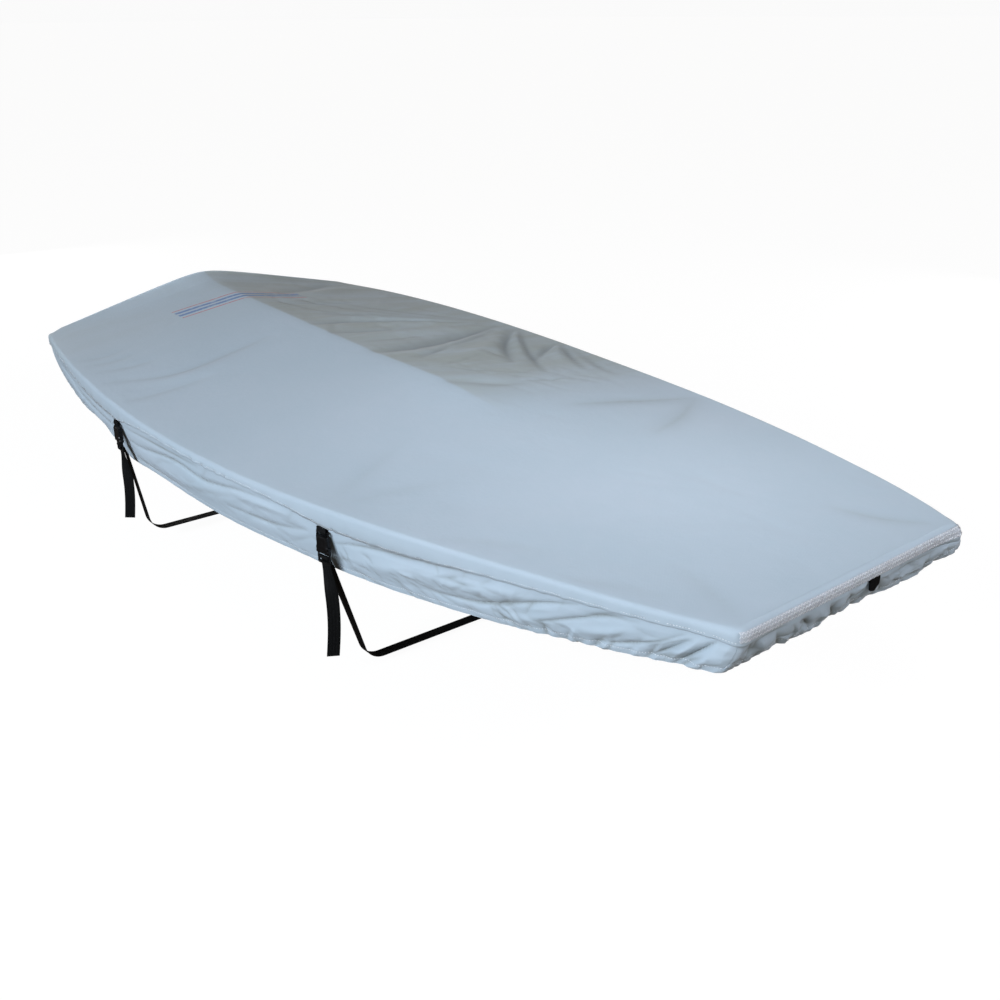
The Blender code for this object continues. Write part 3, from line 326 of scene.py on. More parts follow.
# On the two ends, as distance across the boat and depth below its edge.
BOW_FOLDS = fold_table(
    (-0.0075, 0.008, 0.95, (-0.256, 0.034), (-0.252, 0.05), (-0.256, 0.072)),
    (0.0066, 0.009, 0.8, (-0.235, 0.034), (-0.229, 0.05), (-0.222, 0.072)),
    (-0.0049, 0.007, 0.7, (-0.248, 0.03), (-0.215, 0.031), (-0.18, 0.03)),
    (-0.0062, 0.008, 0.7, (-0.2, 0.036), (-0.186, 0.056), (-0.172, 0.076)),
    (0.0054, 0.009, 0.8, (-0.166, 0.032), (-0.15, 0.05), (-0.14, 0.072)),
    (-0.0066, 0.007, 0.7, (-0.144, 0.038), (-0.123, 0.045), (-0.108, 0.066)),
    (0.0049, 0.009, 0.8, (-0.1, 0.032), (-0.086, 0.052), (-0.08, 0.078)),
    (-0.0066, 0.008, 0.7, (-0.068, 0.036), (-0.05, 0.056), (-0.034, 0.078)),
    (0.0045, 0.008, 0.8, (-0.04, 0.032), (-0.03, 0.048), (-0.02, 0.07)),
    (-0.0058, 0.007, 0.7, (0.03, 0.03), (0.015, 0.046), (-0.011, 0.062)),
    (-0.0054, 0.008, 0.7, (0.066, 0.036), (0.08, 0.056), (0.09, 0.068)),
    (-0.0049, 0.007, 0.8, (0.093, 0.037), (0.156, 0.034), (0.215, 0.032)),
    (0.0049, 0.01, 0.7, (0.11, 0.05), (0.16, 0.05), (0.205, 0.044)),
    (-0.0049, 0.007, 0.8, (0.122, 0.062), (0.188, 0.062), (0.228, 0.041)),
    (-0.0029, 0.007, 0.95, (0.24, 0.034), (0.262, 0.04), (0.28, 0.038)),
)
STERN_FOLDS = fold_table(
    (-0.006, 0.013, 0.6, (-0.43, 0.05), (-0.28, 0.08), (-0.12, 0.112)),
    (0.0045, 0.016, 0.1, (-0.3, 0.046), (-0.13, 0.08), (0.01, 0.12)),
    (-0.005, 0.013, 0.6, (-0.18, 0.044), (-0.04, 0.08), (0.06, 0.13)),
    (-0.006, 0.013, 0.6, (0.43, 0.05), (0.3, 0.082), (0.16, 0.112)),
    (0.0045, 0.016, 0.1, (0.3, 0.05), (0.18, 0.082), (0.06, 0.11)),
)
# Small crumples strewn over the cloth: seed, how many, the area from and to, their length, height
# and width, how they lean in radians and how far that varies, and their crispness.
TOP_CRUMPLE_ROWS = (
    (11, 90, (-0.95, 0.04), (0.15, 0.50), 0.11, 0.0016, 0.011, 0.30, 0.55),
    (12, 60, (-1.10, -0.42), (0.90, -0.03), 0.14, 0.0007, 0.020, 0.6, 0.8),
    (13, 46, (0.15, -0.30), (1.10, 0.40), 0.12, 0.0008, 0.018, 0.2, 0.8),
    (14, 46, (-0.95, -0.55), (1.05, -0.38), 0.05, 0.0010, 0.010, 0.5, 0.6),
)
BOW_CRUMPLE_ROWS = ((41, 110, (-0.29, 0.028), (0.28, 0.074), 0.036, 0.0036, 0.0075, 0.9, 0.8, 1.0),)
STERN_CRUMPLE_ROWS = ((51, 60, (-0.46, 0.04), (0.46, 0.12), 0.05, 0.0016, 0.008, 0.3, 0.6),)


def side_crumple_rows(seed):
    """The two sides have crumples of the same kinds, from different seeds."""
    return (
        (seed, 120, (-1.10, 0.036), (1.14, 0.120), 0.085, 0.0011, 0.006, -0.16, 0.25, 0.6),
        (seed + 1, 70, (0.30, 0.070), (0.95, 0.125), 0.034, 0.0020, 0.005, 0.55, 0.35, 0.7),
        (seed + 3, 46, (0.60, 0.045), (1.14, 0.100), 0.040, 0.0020, 0.006, -0.5, 0.5, 0.7),
    )


# The hem's elastic puckers the skirt. Along each length of skirt: place, spacing of the puckers,
# their height, how far up they reach, and how far they lean along the boat in that height.
Puckers = namedtuple("Puckers", "place spacing height reach lean")
SIDE_PUCKERS = (
    Puckers(-1.15, 0.040, 0.0012, 0.026, 0.004),
    Puckers(-0.30, 0.050, 0.0008, 0.022, -0.012),
    Puckers(0.35, 0.040, 0.0009, 0.026, -0.022),
    Puckers(0.75, 0.032, 0.0014, 0.028, -0.012),
    Puckers(0.88, 0.028, 0.0030, 0.030, 0.008),
    Puckers(1.00, 0.026, 0.0040, 0.036, 0.014),
    Puckers(1.16, 0.022, 0.0036, 0.036, 0.014),
)
BOW_PUCKERS = (Puckers(-0.30, 0.032, 0.0024, 0.034, 0.008), Puckers(0.30, 0.036, 0.0016, 0.026, -0.010))
STERN_PUCKERS = (Puckers(-0.48, 0.040, 0.0016, 0.028, 0.004), Puckers(0.48, 0.040, 0.0016, 0.028, -0.004))


# ---------------------------------------------------------------- settings
def length_setting(name, description, default, **options):
    return bpy.props.FloatProperty(
        name=name, description=description, default=default, min=0.0, precision=4, unit="LENGTH", **options
    )


def watts_setting(name, description, default):
    return bpy.props.FloatProperty(name=name, description=description, default=default, min=0.0)


def colour_setting(name, description, hex_colour):
    return bpy.props.FloatVectorProperty(
        name=name, description=description, default=linear(hex_colour)[:3], size=3, min=0.0, max=1.0,
        subtype="COLOR",
    )


def linear(hex_colour):
    """An sRGB hex colour as linear RGBA."""
    parts = [int(hex_colour[i : i + 2], 16) / 255 for i in (0, 2, 4)]
    return (*[p / 12.92 if p <= 0.04045 else ((p + 0.055) / 1.055) ** 2.4 for p in parts], 1.0)


class CoverSizes(bpy.types.PropertyGroup):
    """Sizes of the cover's stitches, gathers and webbing."""

    stitch_pitch: length_setting("Stitch pitch", "From one stitch to the next along a seam", 0.0048)
    stitch_length: length_setting("Stitch length", "Length of thread that shows in a stitch", 0.0034)
    thread: length_setting("Thread", "Thickness of the sewing thread as drawn", 0.0011)
    zigzag_pitch: length_setting("Zigzag pitch", "From one zigzag stitch to the next on the tape", 0.0038)
    gather: bpy.props.FloatProperty(
        name="Gathering", description="How deep the elastic puckers the hem", default=1.0, min=0.0, max=2.0,
        subtype="FACTOR",
    )
    webbing_width: length_setting("Webbing width", "Width of the straps", 0.025)


class CoverColours(bpy.types.PropertyGroup):
    """Colours of the cover's cloth, thread, print and fittings."""

    cloth: colour_setting("Cloth", "Coated polycotton of the panel and the skirt", "A3B5C1")
    faded: colour_setting("Faded cloth", "The same cloth where sun and dust have paled it", "AAB9C5")
    tape: colour_setting("Tape", "Woven tape over the bow's edge", "B9C1CA")
    thread: colour_setting("Thread", "Polyester sewing thread", "E9EEF2")
    stripe: colour_setting("Stripe", "The broad printed stripe over the ridge", "4A6FA5")
    line: colour_setting("Line", "The thin printed lines beside it", "B2565A")
    webbing: colour_setting("Webbing", "Polypropylene webbing", "040506")
    fitting: colour_setting("Fitting", "Moulded buckles", "040507")


class CoverStage(bpy.types.PropertyGroup):
    """The studio's light."""

    key: watts_setting("Key light", "Watts of the large softbox to starboard", 462.0)
    overhead: watts_setting("Overhead light", "Watts of the small softbox over the foredeck", 5.0)
    bow: watts_setting("Bow light", "Watts of the softbox ahead of the bow", 96.0)
    side: watts_setting("Side light", "Watts of the low softbox to starboard", 31.0)
    end: watts_setting("End light", "Watts of the low softbox ahead of the bow", 15.0)
    fill: watts_setting("Fill lights", "Watts of each low light behind the camera's view", 20.0)
    sky: bpy.props.FloatProperty(name="Ambient", description="Light from all round", default=0.09)
    backdrop_glow: bpy.props.FloatProperty(name="Backdrop glow", description="How white floor and wall stay",
                                           default=0.96)


# ---------------------------------------------------------------- reading the tables
def smooth(rows, column, at):
    """Reads a column of a table between its rows, along a smooth curve through them."""
    table = np.array([tuple(row) for row in rows], float)
    keys, values = table[:, 0], table[:, column]
    at = np.clip(at, keys[0], keys[-1])
    low = np.clip(np.searchsorted(keys, at, side="right") - 1, 0, len(keys) - 2)
    order = np.arange(len(keys))
    before, after = np.maximum(order - 1, 0), np.minimum(order + 1, len(keys) - 1)
    slopes = (values[after] - values[before]) / (keys[after] - keys[before])
    span = keys[low + 1] - keys[low]
    u = (at - keys[low]) / span
    start = (2 * u**3 - 3 * u**2 + 1) * values[low] + (u**3 - 2 * u**2 + u) * slopes[low] * span
    end = (3 * u**2 - 2 * u**3) * values[low + 1] + (u**3 - u**2) * slopes[low + 1] * span
    return start + end


def eased_step(share):
    """A share from 0 to 1 that starts and ends softly."""
    share = np.clip(share, 0, 1)
    return share * share * (3 - 2 * share)


LINE_STEPS = 5  # steps of a fold's line between two of its points
FOLD_START = 0.10  # a fold is as full at its ends as a wave is after this share of its rise and fall
CRISP_FALL = 1.6  # how much faster a crisp crease falls off beside its line than a soft one


def eased(points):
    """A smooth line through a few points."""
    at = np.linspace(0, len(points) - 1, (len(points) - 1) * LINE_STEPS + 1)
    rows = [(k, *point) for k, point in enumerate(points)]
    return np.stack([smooth(rows, i, at) for i in (1, 2)], -1)


def along_fold(fold, x, y):
    """Which places lie near a fold, their distance from its line and how full it is there."""
    line = eased(fold.line)
    low, high = line.min(0) - 4 * fold.width, line.max(0) + 4 * fold.width
    near = (x > low[0]) & (x < high[0]) & (y > low[1]) & (y < high[1])
    px, py = x[near], y[near]
    nearest, share = np.full(px.shape, 1e9), np.zeros(px.shape)
    for i, (start, end) in enumerate(zip(line, line[1:])):
        run = end - start
        along = np.clip(((px - start[0]) * run[0] + (py - start[1]) * run[1]) / (run @ run), 0, 1)
        off = (px - start[0] - along * run[0]) ** 2 + (py - start[1] - along * run[1]) ** 2
        closer = off < nearest
        nearest = np.where(closer, off, nearest)
        share = np.where(closer, (i + along) / (len(line) - 1), share)
    return near, np.sqrt(nearest), np.sin(np.pi * (FOLD_START + (1 - 2 * FOLD_START) * share))


def folded(folds, x, y):
    """The height that a table of folds adds at places on the cloth."""
    x, y = np.broadcast_arrays(x, y)
    height = np.zeros(x.shape)
    for fold in folds:
        near, distance, full = along_fold(fold, x, y)
        away = distance / fold.width
        shape = (1 - fold.crisp) * np.exp(-(away**2)) + fold.crisp * np.exp(-CRISP_FALL * away)
        height[near] += fold.height * full * shape
    return height


def dark_lines(folds, x, y, half, depth):
    """How dark the narrow lines in the troughs are; one of the given depth is all dark."""
    x, y = np.broadcast_arrays(x, y)
    dark = np.zeros(x.shape)
    for fold in folds:
        if fold.height < 0:
            near, distance, full = along_fold(fold, x, y)
            dark[near] += min(1.0, -fold.height / depth) * full * np.exp(-distance / half)
    return np.minimum(dark, 1.0)


# How much the seeded crumples and puckers vary, as shares of what their rows give.
CRUMPLE_LENGTHS, CRUMPLE_HEIGHTS, CRUMPLE_WIDTHS, CRUMPLE_SAG = (0.5, 1.5), (0.4, 1.3), (0.7, 1.4), 0.12
TROUGH_SHARE, RAISED = 0.6, 0.8  # the share of crumples that are troughs, and how high the others are
PUCKER_REACHES, PUCKER_LEANS, PUCKER_HEIGHTS, PUCKER_STEPS = (0.6, 1.35), (0.3, 1.7), (0.2, 1.5), (0.26, 1.0)
PUCKER_WIDTH, PUCKER_CRISP = 0.30, 0.5  # the width is a share of the spacing
PUCKER_FOOT, PUCKER_STRAY = 0.004, 0.004  # how far below the hem they begin, and their lean strays


def crumples(seed, count, low, high, length, height, width, lean, spread, crisp=0.3):
    """Small folds strewn over an area from one seed, most of them along a direction."""
    dice = np.random.default_rng(seed)
    made = []
    for _ in range(count):
        start = np.array([dice.uniform(*ends) for ends in zip(low, high)])
        turn = lean + dice.normal(0, spread)
        reach = length * dice.uniform(*CRUMPLE_LENGTHS)
        end = start + reach * np.array([math.cos(turn), math.sin(turn)])
        sag = CRUMPLE_SAG * reach * dice.uniform(-1, 1)
        middle = (start + end) / 2 + sag * np.array([-math.sin(turn), math.cos(turn)])
        rise = height * dice.uniform(*CRUMPLE_HEIGHTS) * (-1 if dice.random() < TROUGH_SHARE else RAISED)
        made.append(Fold((start, middle, end), rise, width * dice.uniform(*CRUMPLE_WIDTHS), crisp))
    return tuple(made)


def puckers(seed, rows, half, hem):
    """Short folds that rise from a gathered hem; hem is its depth as a function of the place."""
    dice = np.random.default_rng(seed)
    made, at = [], -half
    while at < half:
        spacing, height, reach, lean = (float(smooth(rows, i, at)) for i in range(1, 5))
        bottom = float(hem(at)) + PUCKER_FOOT
        rise = reach * dice.uniform(*PUCKER_REACHES)
        shift = lean * dice.uniform(*PUCKER_LEANS) + dice.normal(0, PUCKER_STRAY)
        points = ((at, bottom), (at + 0.4 * shift, bottom - 0.5 * rise), (at + shift, bottom - rise))
        height *= dice.uniform(*PUCKER_HEIGHTS) * (-1 if len(made) % 2 else 1)
        made.append(Fold(points, height, spacing * PUCKER_WIDTH, PUCKER_CRISP))
        at += spacing * dice.uniform(*PUCKER_STEPS)
    return tuple(made)


# ---------------------------------------------------------------- the shape of the top
def edge_row(column, x):
    """A column of the edge's table at places along the boat."""
    return smooth(EDGE_ROWS, column, x / LENGTH + 0.5)


def half_width(x):
    return edge_row(1, x)


def edge_height(x):
    return edge_row(2, x)


def seam_depth(x):
    """Depth of a side's seam below the edge."""
    return smooth(SIDE_ROWS, 1, x)


def starboard_hem(x):
    return edge_row(3, x) + smooth(SIDE_ROWS, 2, x)


def port_hem(x):
    return edge_row(4, x)


def bow_row(column, y):
    """A column of the bow's table at places across the boat."""
    return smooth(BOW_ROWS, column, 0.5 + y / (2 * half_width(LENGTH / 2)))


def bow_hem(y):
    return bow_row(2, y)


def stern_hem(y):
    """Depth of the stern's hem for its puckers, which don't follow the tented rise."""
    return EDGE_ROWS[0][3] + STERN_HEM_DROP


def strewn(rows):
    """The crumples of all rows of a table."""
    return tuple(fold for row in rows for fold in crumples(*row))


TOP_CRUMPLES = strewn(TOP_CRUMPLE_ROWS)
ROUND_POWER = 1.5  # how full the ridge is where it isn't crisp
FOLD_FADE = 0.045  # share of the half width over which the folds fade out to the edge


def top_height(x, y):
    """Height of the top's outer face: the edge, the ridge that spreads to it, and the folds."""
    share = x / LENGTH + 0.5
    ridge, crisp, full, soft = (smooth(RIDGE_ROWS, i, share) for i in range(1, 5))
    crisp = np.clip(crisp, 0.0, 1.0)
    off = np.minimum(np.hypot(y, soft) / np.hypot(half_width(x), soft), 1.0)
    tent = crisp * (1 - off) ** full + (1 - crisp) * (1 - off**2) ** ROUND_POWER
    fade = np.minimum(1.0, (1 - off) / FOLD_FADE)
    return edge_height(x) + ridge * tent + fade * folded(TOP_FOLDS + TOP_CRUMPLES, x, y)


# ---------------------------------------------------------------- the stations round the edge
Edge = namedtuple("Edge", "zone along run place outward level seam hem lean flare roll rows columns")
ZONES = ("starboard", "bow", "port", "stern")


def side_line(runs):
    """One side's outline from stern to bow, as x and half width, with its two rounded corners."""
    arc = np.radians(np.linspace(0, 90, CORNER_STEPS + 1))
    aft_x = -LENGTH / 2 + AFT_CORNER * (1 - np.cos(arc))
    aft_y = half_width(aft_x) - AFT_CORNER * (1 - np.sin(arc))
    side_x = np.concatenate([np.linspace(a, b, n, endpoint=False) for a, b, n in runs] + [[runs[-1][1]]])
    bow_x = LENGTH / 2 - BOW_CORNER * (1 - np.cos(arc[::-1]))
    bow_y = half_width(bow_x) - BOW_CORNER * (1 - np.sin(arc[::-1]))
    return np.concatenate([aft_x, side_x, bow_x]), np.concatenate([aft_y, half_width(side_x), bow_y])


def drawn_in(x, y):
    """How far the skirt draws in along X and along Y for each metre down."""
    ramp = eased_step((np.abs(x) / (LENGTH / 2) - END_RAMP) / (1 - END_RAMP))
    along = np.where(x > 0, bow_row(3, y), -STERN_LEAN)
    sideways = edge_row(5, x) * y / half_width(x)
    return np.stack([along * ramp, sideways], -1)


def fractions(columns):
    """Shares of the half width across the cover, closest together at the ridge."""
    starboard, port = (np.linspace(0, 1, count + 1) ** RIDGE_CLOSER for count in columns)
    return np.concatenate([-starboard[:0:-1], port])


def stations(runs, across):
    """Places round the edge, anticlockwise from aft starboard, with all that is known there."""
    x, y = side_line(runs)
    inner = across[1:-1]
    zone = np.repeat([0, 1, 2, 3], [len(x), len(inner), len(x), len(inner)])
    plan_x = np.concatenate([x, np.full(len(inner), x[-1]), x[::-1], np.full(len(inner), x[0])])
    plan_y = np.concatenate([-y, inner * y[-1], y[::-1], inner[::-1] * y[0]])
    place = np.stack([plan_x, plan_y], -1)
    ahead = np.roll(place, -1, 0) - place
    normal = np.stack([ahead[:, 1], -ahead[:, 0]], -1) / np.linalg.norm(ahead, axis=1)[:, None]
    before = np.roll(normal, 1, 0)
    middle = normal + before
    middle /= np.linalg.norm(middle, axis=1)[:, None]
    outward = middle / np.sum(middle * before, 1)[:, None]
    level, seam = edge_height(plan_x), seam_depth(plan_x)
    hem = np.where(plan_y < 0, starboard_hem(plan_x), port_hem(plan_x))
    bow, stern = zone == 1, zone == 3
    seam[stern] = SIDE_SEAM
    seam[bow], hem[bow] = bow_row(1, plan_y[bow]), bow_row(2, plan_y[bow])
    rise = top_height(plan_x[stern], plan_y[stern]) - edge_height(plan_x[stern])
    level[stern] += rise
    hem[stern] = EDGE_ROWS[0][3] + (1 - STERN_HEM_RISE) * rise
    along = np.where(bow | stern, plan_y, plan_x)
    run = np.concatenate([[0], np.cumsum(np.linalg.norm(ahead, axis=1))[:-1]])
    corner = np.hypot(plan_x - LENGTH / 2, plan_y - half_width(LENGTH / 2))
    flare = CORNER_FLARE * np.exp(-((corner / FLARE_REACH) ** 2))
    lean = drawn_in(plan_x, plan_y)
    forward = eased_step((plan_x - LENGTH / 2 + BOW_ROLL_START) / BOW_ROLL_RAMP)
    roll = EDGE_ROLL + (BOW_ROLL - EDGE_ROLL) * forward
    return Edge(zone, along, run, place, outward, level, seam, hem, lean, flare, roll, len(x), len(across))


def part_of(edge, picked):
    """Some of the stations, in order."""
    arrays = {name: getattr(edge, name)[picked] for name in Edge._fields[:-2]}
    return edge._replace(**arrays)


def beside(edge, out, down):
    """Points at the stations, a distance outside the edge's plan and below the edge."""
    down = np.broadcast_to(np.asarray(down, float), np.broadcast_shapes(np.shape(down), edge.level.shape))
    out = out + edge.flare * eased_step(down / SIDE_SEAM)
    plan = edge.place + edge.outward * out[..., None]
    return np.concatenate([plan, (edge.level - down)[..., None]], -1)


def leant(edge, points, fall):
    """Points of the hanging cloth, drawn in with the skirt over the distance that they fall."""
    points[..., :2] -= edge.lean * np.maximum(fall, 0.0)[..., None]
    return points


def round_edge(edge, angle, lift):
    """Points over the edge's roll, a distance off it, at an angle from straight up."""
    reach = edge.roll + lift
    return beside(edge, reach * math.sin(angle) - edge.roll, edge.roll - reach * math.cos(angle))


# The puckers of the turned-down band and of the tape, as two waves each: share of the height,
# length, how far it wanders and over what length.
BAND_RIPPLES = ((0.55, 0.052, 2.6, 0.41), (0.45, 0.027, 2.1, 0.23))
TAPE_RIPPLES = ((0.6, 0.0066, 1.6, 0.093), (0.4, 0.0151, 2.3, 0.19))


def rippled(run, waves):
    """Waves along a run, which wander a little to and fro."""
    return sum(
        share * np.sin(run * 2 * np.pi / length + wander * np.sin(run * 2 * np.pi / over))
        for share, length, wander, over in waves
    )


def band_swell(edge, down):
    """Small puckers of the turned-down edge, which the seam's thread draws up."""
    depth = np.clip(down / edge.seam, 0, 1) ** 1.5
    untaped = np.clip((LENGTH / 2 - TAPE_WIDE - edge.place[:, 0]) / (2 * TAPE_WIDE), 0, 1)
    return BAND_PUCKER * rippled(edge.run, BAND_RIPPLES) * depth * untaped


# ---------------------------------------------------------------- making meshes
def new_piece(name, mesh, material, sharp=40):
    """Puts a finished mesh in the scene as a piece of the cover."""
    if material:
        mesh.materials.append(material)
    mesh.shade_smooth()
    if sharp:
        mesh.set_sharp_from_angle(angle=math.radians(sharp))
    made = bpy.data.objects.new(name, mesh)
    bpy.context.scene.collection.objects.link(made)
    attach(made, "root")
    return made


def lay_pattern(mesh, points):
    """Gives a mesh the UV map that its weave follows: metres along and across the cloth."""
    layer = mesh.uv_layers.new(name="weave")
    corners = np.zeros(len(mesh.loops), np.int32)
    mesh.loops.foreach_get("vertex_index", corners)
    layer.data.foreach_set("uv", np.asarray(points, np.float32)[corners].ravel())


def strip_faces(rows, columns):
    """Quads of a grid whose points are numbered row by row."""
    row, column = np.meshgrid(np.arange(rows - 1), np.arange(columns - 1), indexing="ij")
    a = (row * columns + column).ravel()
    return np.stack([a, a + columns, a + columns + 1, a + 1], -1)


def closed_sheet(outer, inner, pattern):
    """A mesh with an outer grid, an inner grid behind it and walls round the rim."""
    rows, columns = outer.shape[:2]
    count = rows * columns
    fronts = strip_faces(rows, columns)
    backs = fronts[:, ::-1] + count
    top, bottom = np.arange(columns), np.arange(columns) + (rows - 1) * columns
    left, right = np.arange(rows) * columns, np.arange(rows) * columns + columns - 1
    walls = []
    for line in (top, right, bottom[::-1], left[::-1]):
        a, b = line[:-1], line[1:]
        walls.append(np.stack([a, b, b + count, a + count], -1))
    mesh = bpy.data.meshes.new("cloth")
    points = np.concatenate([outer.reshape(-1, 3), inner.reshape(-1, 3)])
    faces = np.concatenate([fronts, backs, *walls])
    mesh.from_pydata(points.tolist(), [], faces.tolist())
    lay_pattern(mesh, np.concatenate([pattern.reshape(-1, 2)] * 2))
    return mesh


def grid_pattern(points):
    """Distances over a grid of points: along its rows and down its columns."""
    along = np.linalg.norm(np.diff(points, axis=1), axis=2).mean(0)
    down = np.linalg.norm(np.diff(points, axis=0), axis=2).mean(1)
    u, v = np.concatenate([[0], np.cumsum(along)]), np.concatenate([[0], np.cumsum(down)])
    return np.stack(np.meshgrid(u, v), -1)


# ---------------------------------------------------------------- materials
def set_inputs(tree, node, inputs):
    """An input that is given a socket is linked to it, and any other is set."""
    for name, value in inputs.items():
        if isinstance(value, bpy.types.NodeSocket):
            tree.links.new(value, node.inputs[name])
        else:
            node.inputs[name].default_value = value


def add_node(tree, kind, settings=None, inputs=None):
    """Adds a node with its settings and its inputs."""
    made = tree.nodes.new(kind)
    for name, value in (settings or {}).items():
        setattr(made, name, value)
    set_inputs(tree, made, inputs or {})
    return made


def maths(tree, operation, *values):
    """The result of a maths node, from numbers or sockets."""
    return add_node(tree, "ShaderNodeMath", {"operation": operation}, dict(enumerate(values))).outputs[0]


def parts_of(tree, vector):
    """The X, Y and Z of a vector."""
    return tuple(add_node(tree, "ShaderNodeSeparateXYZ", None, {0: vector}).outputs)


def stretched(tree, vector, factors):
    """A vector whose parts are multiplied by three factors."""
    made = add_node(tree, "ShaderNodeVectorMath", {"operation": "MULTIPLY"}, {0: vector, 1: factors})
    return made.outputs[0]


def noise(tree, place, scale, detail, settings=None, **more):
    """A noise over the places, from 0 to 1."""
    inputs = {"Vector": place, "Scale": scale, "Detail": detail, **more}
    return add_node(tree, "ShaderNodeTexNoise", settings, inputs).outputs["Fac"]


def mapped(tree, value, low, high, to_low=0.0, to_high=1.0):
    """A value brought from one range to another, and held within it."""
    inputs = {"Value": value, "From Min": low, "From Max": high, "To Min": to_low, "To Max": to_high}
    return add_node(tree, "ShaderNodeMapRange", None, inputs).outputs[0]


def mixed(tree, share, first, second, blend="MIX"):
    """A share of a second colour mixed into the first."""
    settings = {"data_type": "RGBA", "blend_type": blend}
    return add_node(tree, "ShaderNodeMix", settings, {0: share, 6: first, 7: second}).outputs[2]


def bump(tree, height, strength, distance, under=None):
    """The direction of a surface that a height roughens, over another roughness or none."""
    inputs = {"Strength": strength, "Distance": distance, "Height": height}
    if under:
        inputs["Normal"] = under
    return add_node(tree, "ShaderNodeBump", None, inputs).outputs[0]


def kept_value(tree, name):
    """A value that the mesh keeps at each point."""
    return add_node(tree, "ShaderNodeAttribute", {"attribute_name": name}).outputs["Fac"]


def rgba(colour):
    return (*colour, 1.0)


def tinted(colour, factors):
    """A colour times one factor for each of its parts, as RGBA."""
    return rgba(c * f for c, f in zip(colour, factors))


def new_finish(name):
    """A new material with its shader, and the coordinates that its patterns read."""
    made = bpy.data.materials.new(name)
    made.use_nodes = True
    tree = made.node_tree
    shader = tree.nodes["Principled BSDF"]
    shader.inputs["Metallic"].default_value = 0.0
    place = add_node(tree, "ShaderNodeTexCoord").outputs["Object"]
    weave = add_node(tree, "ShaderNodeUVMap", {"uv_map": "weave"}).outputs["UV"]
    return made, tree, shader, place, weave


THREAD_SPACING = 0.0016  # real threads lie 0.4 mm apart; drawn coarser, or they would not show
TAPE_RIB_SPACING = 0.0024  # ribs across the tape
RIB_SPACING = 0.0022  # ribs across the webbing
CHEVRON = 0.0031  # the webbing's ribs turn back after this much of its width
CREASE_SHADE_TINT = (0.60, 0.56, 0.51)  # what the painted shade in a crease leaves of the cloth's colour
SHADE_TINT = (0.80, 0.745, 0.635)  # what the painted shade of the far slope leaves of it
SHADE_STREAKS = (1.7, 0.42, 1.0)  # the painted shade is broken up into streaks across the boat
CRINKLES = {"noise_type": "RIDGED_MULTIFRACTAL", "normalize": True}


def waves(tree, along, spacing):
    """Even waves along one coordinate, as the height of ribs or threads."""
    return maths(tree, "SINE", maths(tree, "MULTIPLY", along, 2 * math.pi / spacing))


def plain_weave(tree, weave, spacing):
    """Height of a plain weave: threads that pass over and under each other in turn."""
    turns = math.pi / spacing
    warp, weft, _ = parts_of(tree, stretched(tree, weave, (turns, turns, 0)))
    return maths(tree, "MULTIPLY", maths(tree, "SINE", warp), maths(tree, "SINE", weft))


def cloth_finish(name, printed=False):
    """Coated polycotton, plain woven. The coating gives it a low, even sheen over a fine weave, and
    use leaves broad paler patches and small marks. Its creases are painted darker, as shade, and so is its
    far slope."""
    colours = bpy.context.scene.cover_colours
    made, tree, shader, place, weave = new_finish(name)
    mottle = noise(tree, place, 26.0, 6.0, Roughness=0.68)
    patches = maths(tree, "MULTIPLY_ADD", mottle, 0.55, noise(tree, place, 2.1, 3.0))
    shown = mixed(tree, mapped(tree, patches, 0.50, 1.06), rgba(colours.cloth), rgba(colours.faded))
    # Painted shade: the far slope and a little of the stern are painted darker and warmer, in streaks.
    dust = kept_value(tree, "dust")
    shade_streaks = noise(tree, stretched(tree, place, SHADE_STREAKS), 9.0, 5.0, Roughness=0.6, Distortion=0.5)
    shade_share = maths(tree, "MULTIPLY", dust, mapped(tree, shade_streaks, 0.34, 0.62, 0.48, 1.0))
    shown = mixed(tree, shade_share, shown, rgba(SHADE_TINT), "MULTIPLY")
    # Painted shade: the creases' troughs and crisp lines are painted darker and browner.
    shown = mixed(tree, kept_value(tree, "crease"), shown, tinted(colours.cloth, CREASE_SHADE_TINT))
    if printed:
        shown = printed_stripes(tree, place, shown)
    threads = bump(tree, plain_weave(tree, weave, THREAD_SPACING), 0.35, 0.00012)
    slubs = bump(tree, noise(tree, place, 90.0, 3.0), 0.35, 0.0011, threads)
    # The coating keeps small crisp crinkles, most of them on the slack far slope.
    slack = mapped(tree, dust, 0.0, 1.0, 0.25, 0.9)
    crinkles = bump(tree, noise(tree, place, 10.0, 1.5, CRINKLES, Distortion=0.8), slack, 0.0030, slubs)
    set_inputs(tree, shader, {
        "Base Color": shown,
        "Normal": crinkles,
        "Roughness": mapped(tree, patches, 0.3, 0.9, 0.60, 0.74),
        "Specular IOR Level": 0.38,
        "Sheen Weight": 0.12,
        "Sheen Roughness": 0.55,
    })
    return made


# The print over the ridge: two stripes between two thin lines. Its middle along the boat, the
# place and half width of the stripes and of the lines, where all end, and how it is slanted.
PRINT_PLACE = -0.908
STRIPE_PLACE, STRIPE_HALF, LINE_PLACE, LINE_HALF = 0.0125, 0.0065, 0.035, 0.0026
STRIPE_ENDS = (-0.195, 0.180)
STRIPE_SLANT = 0.07


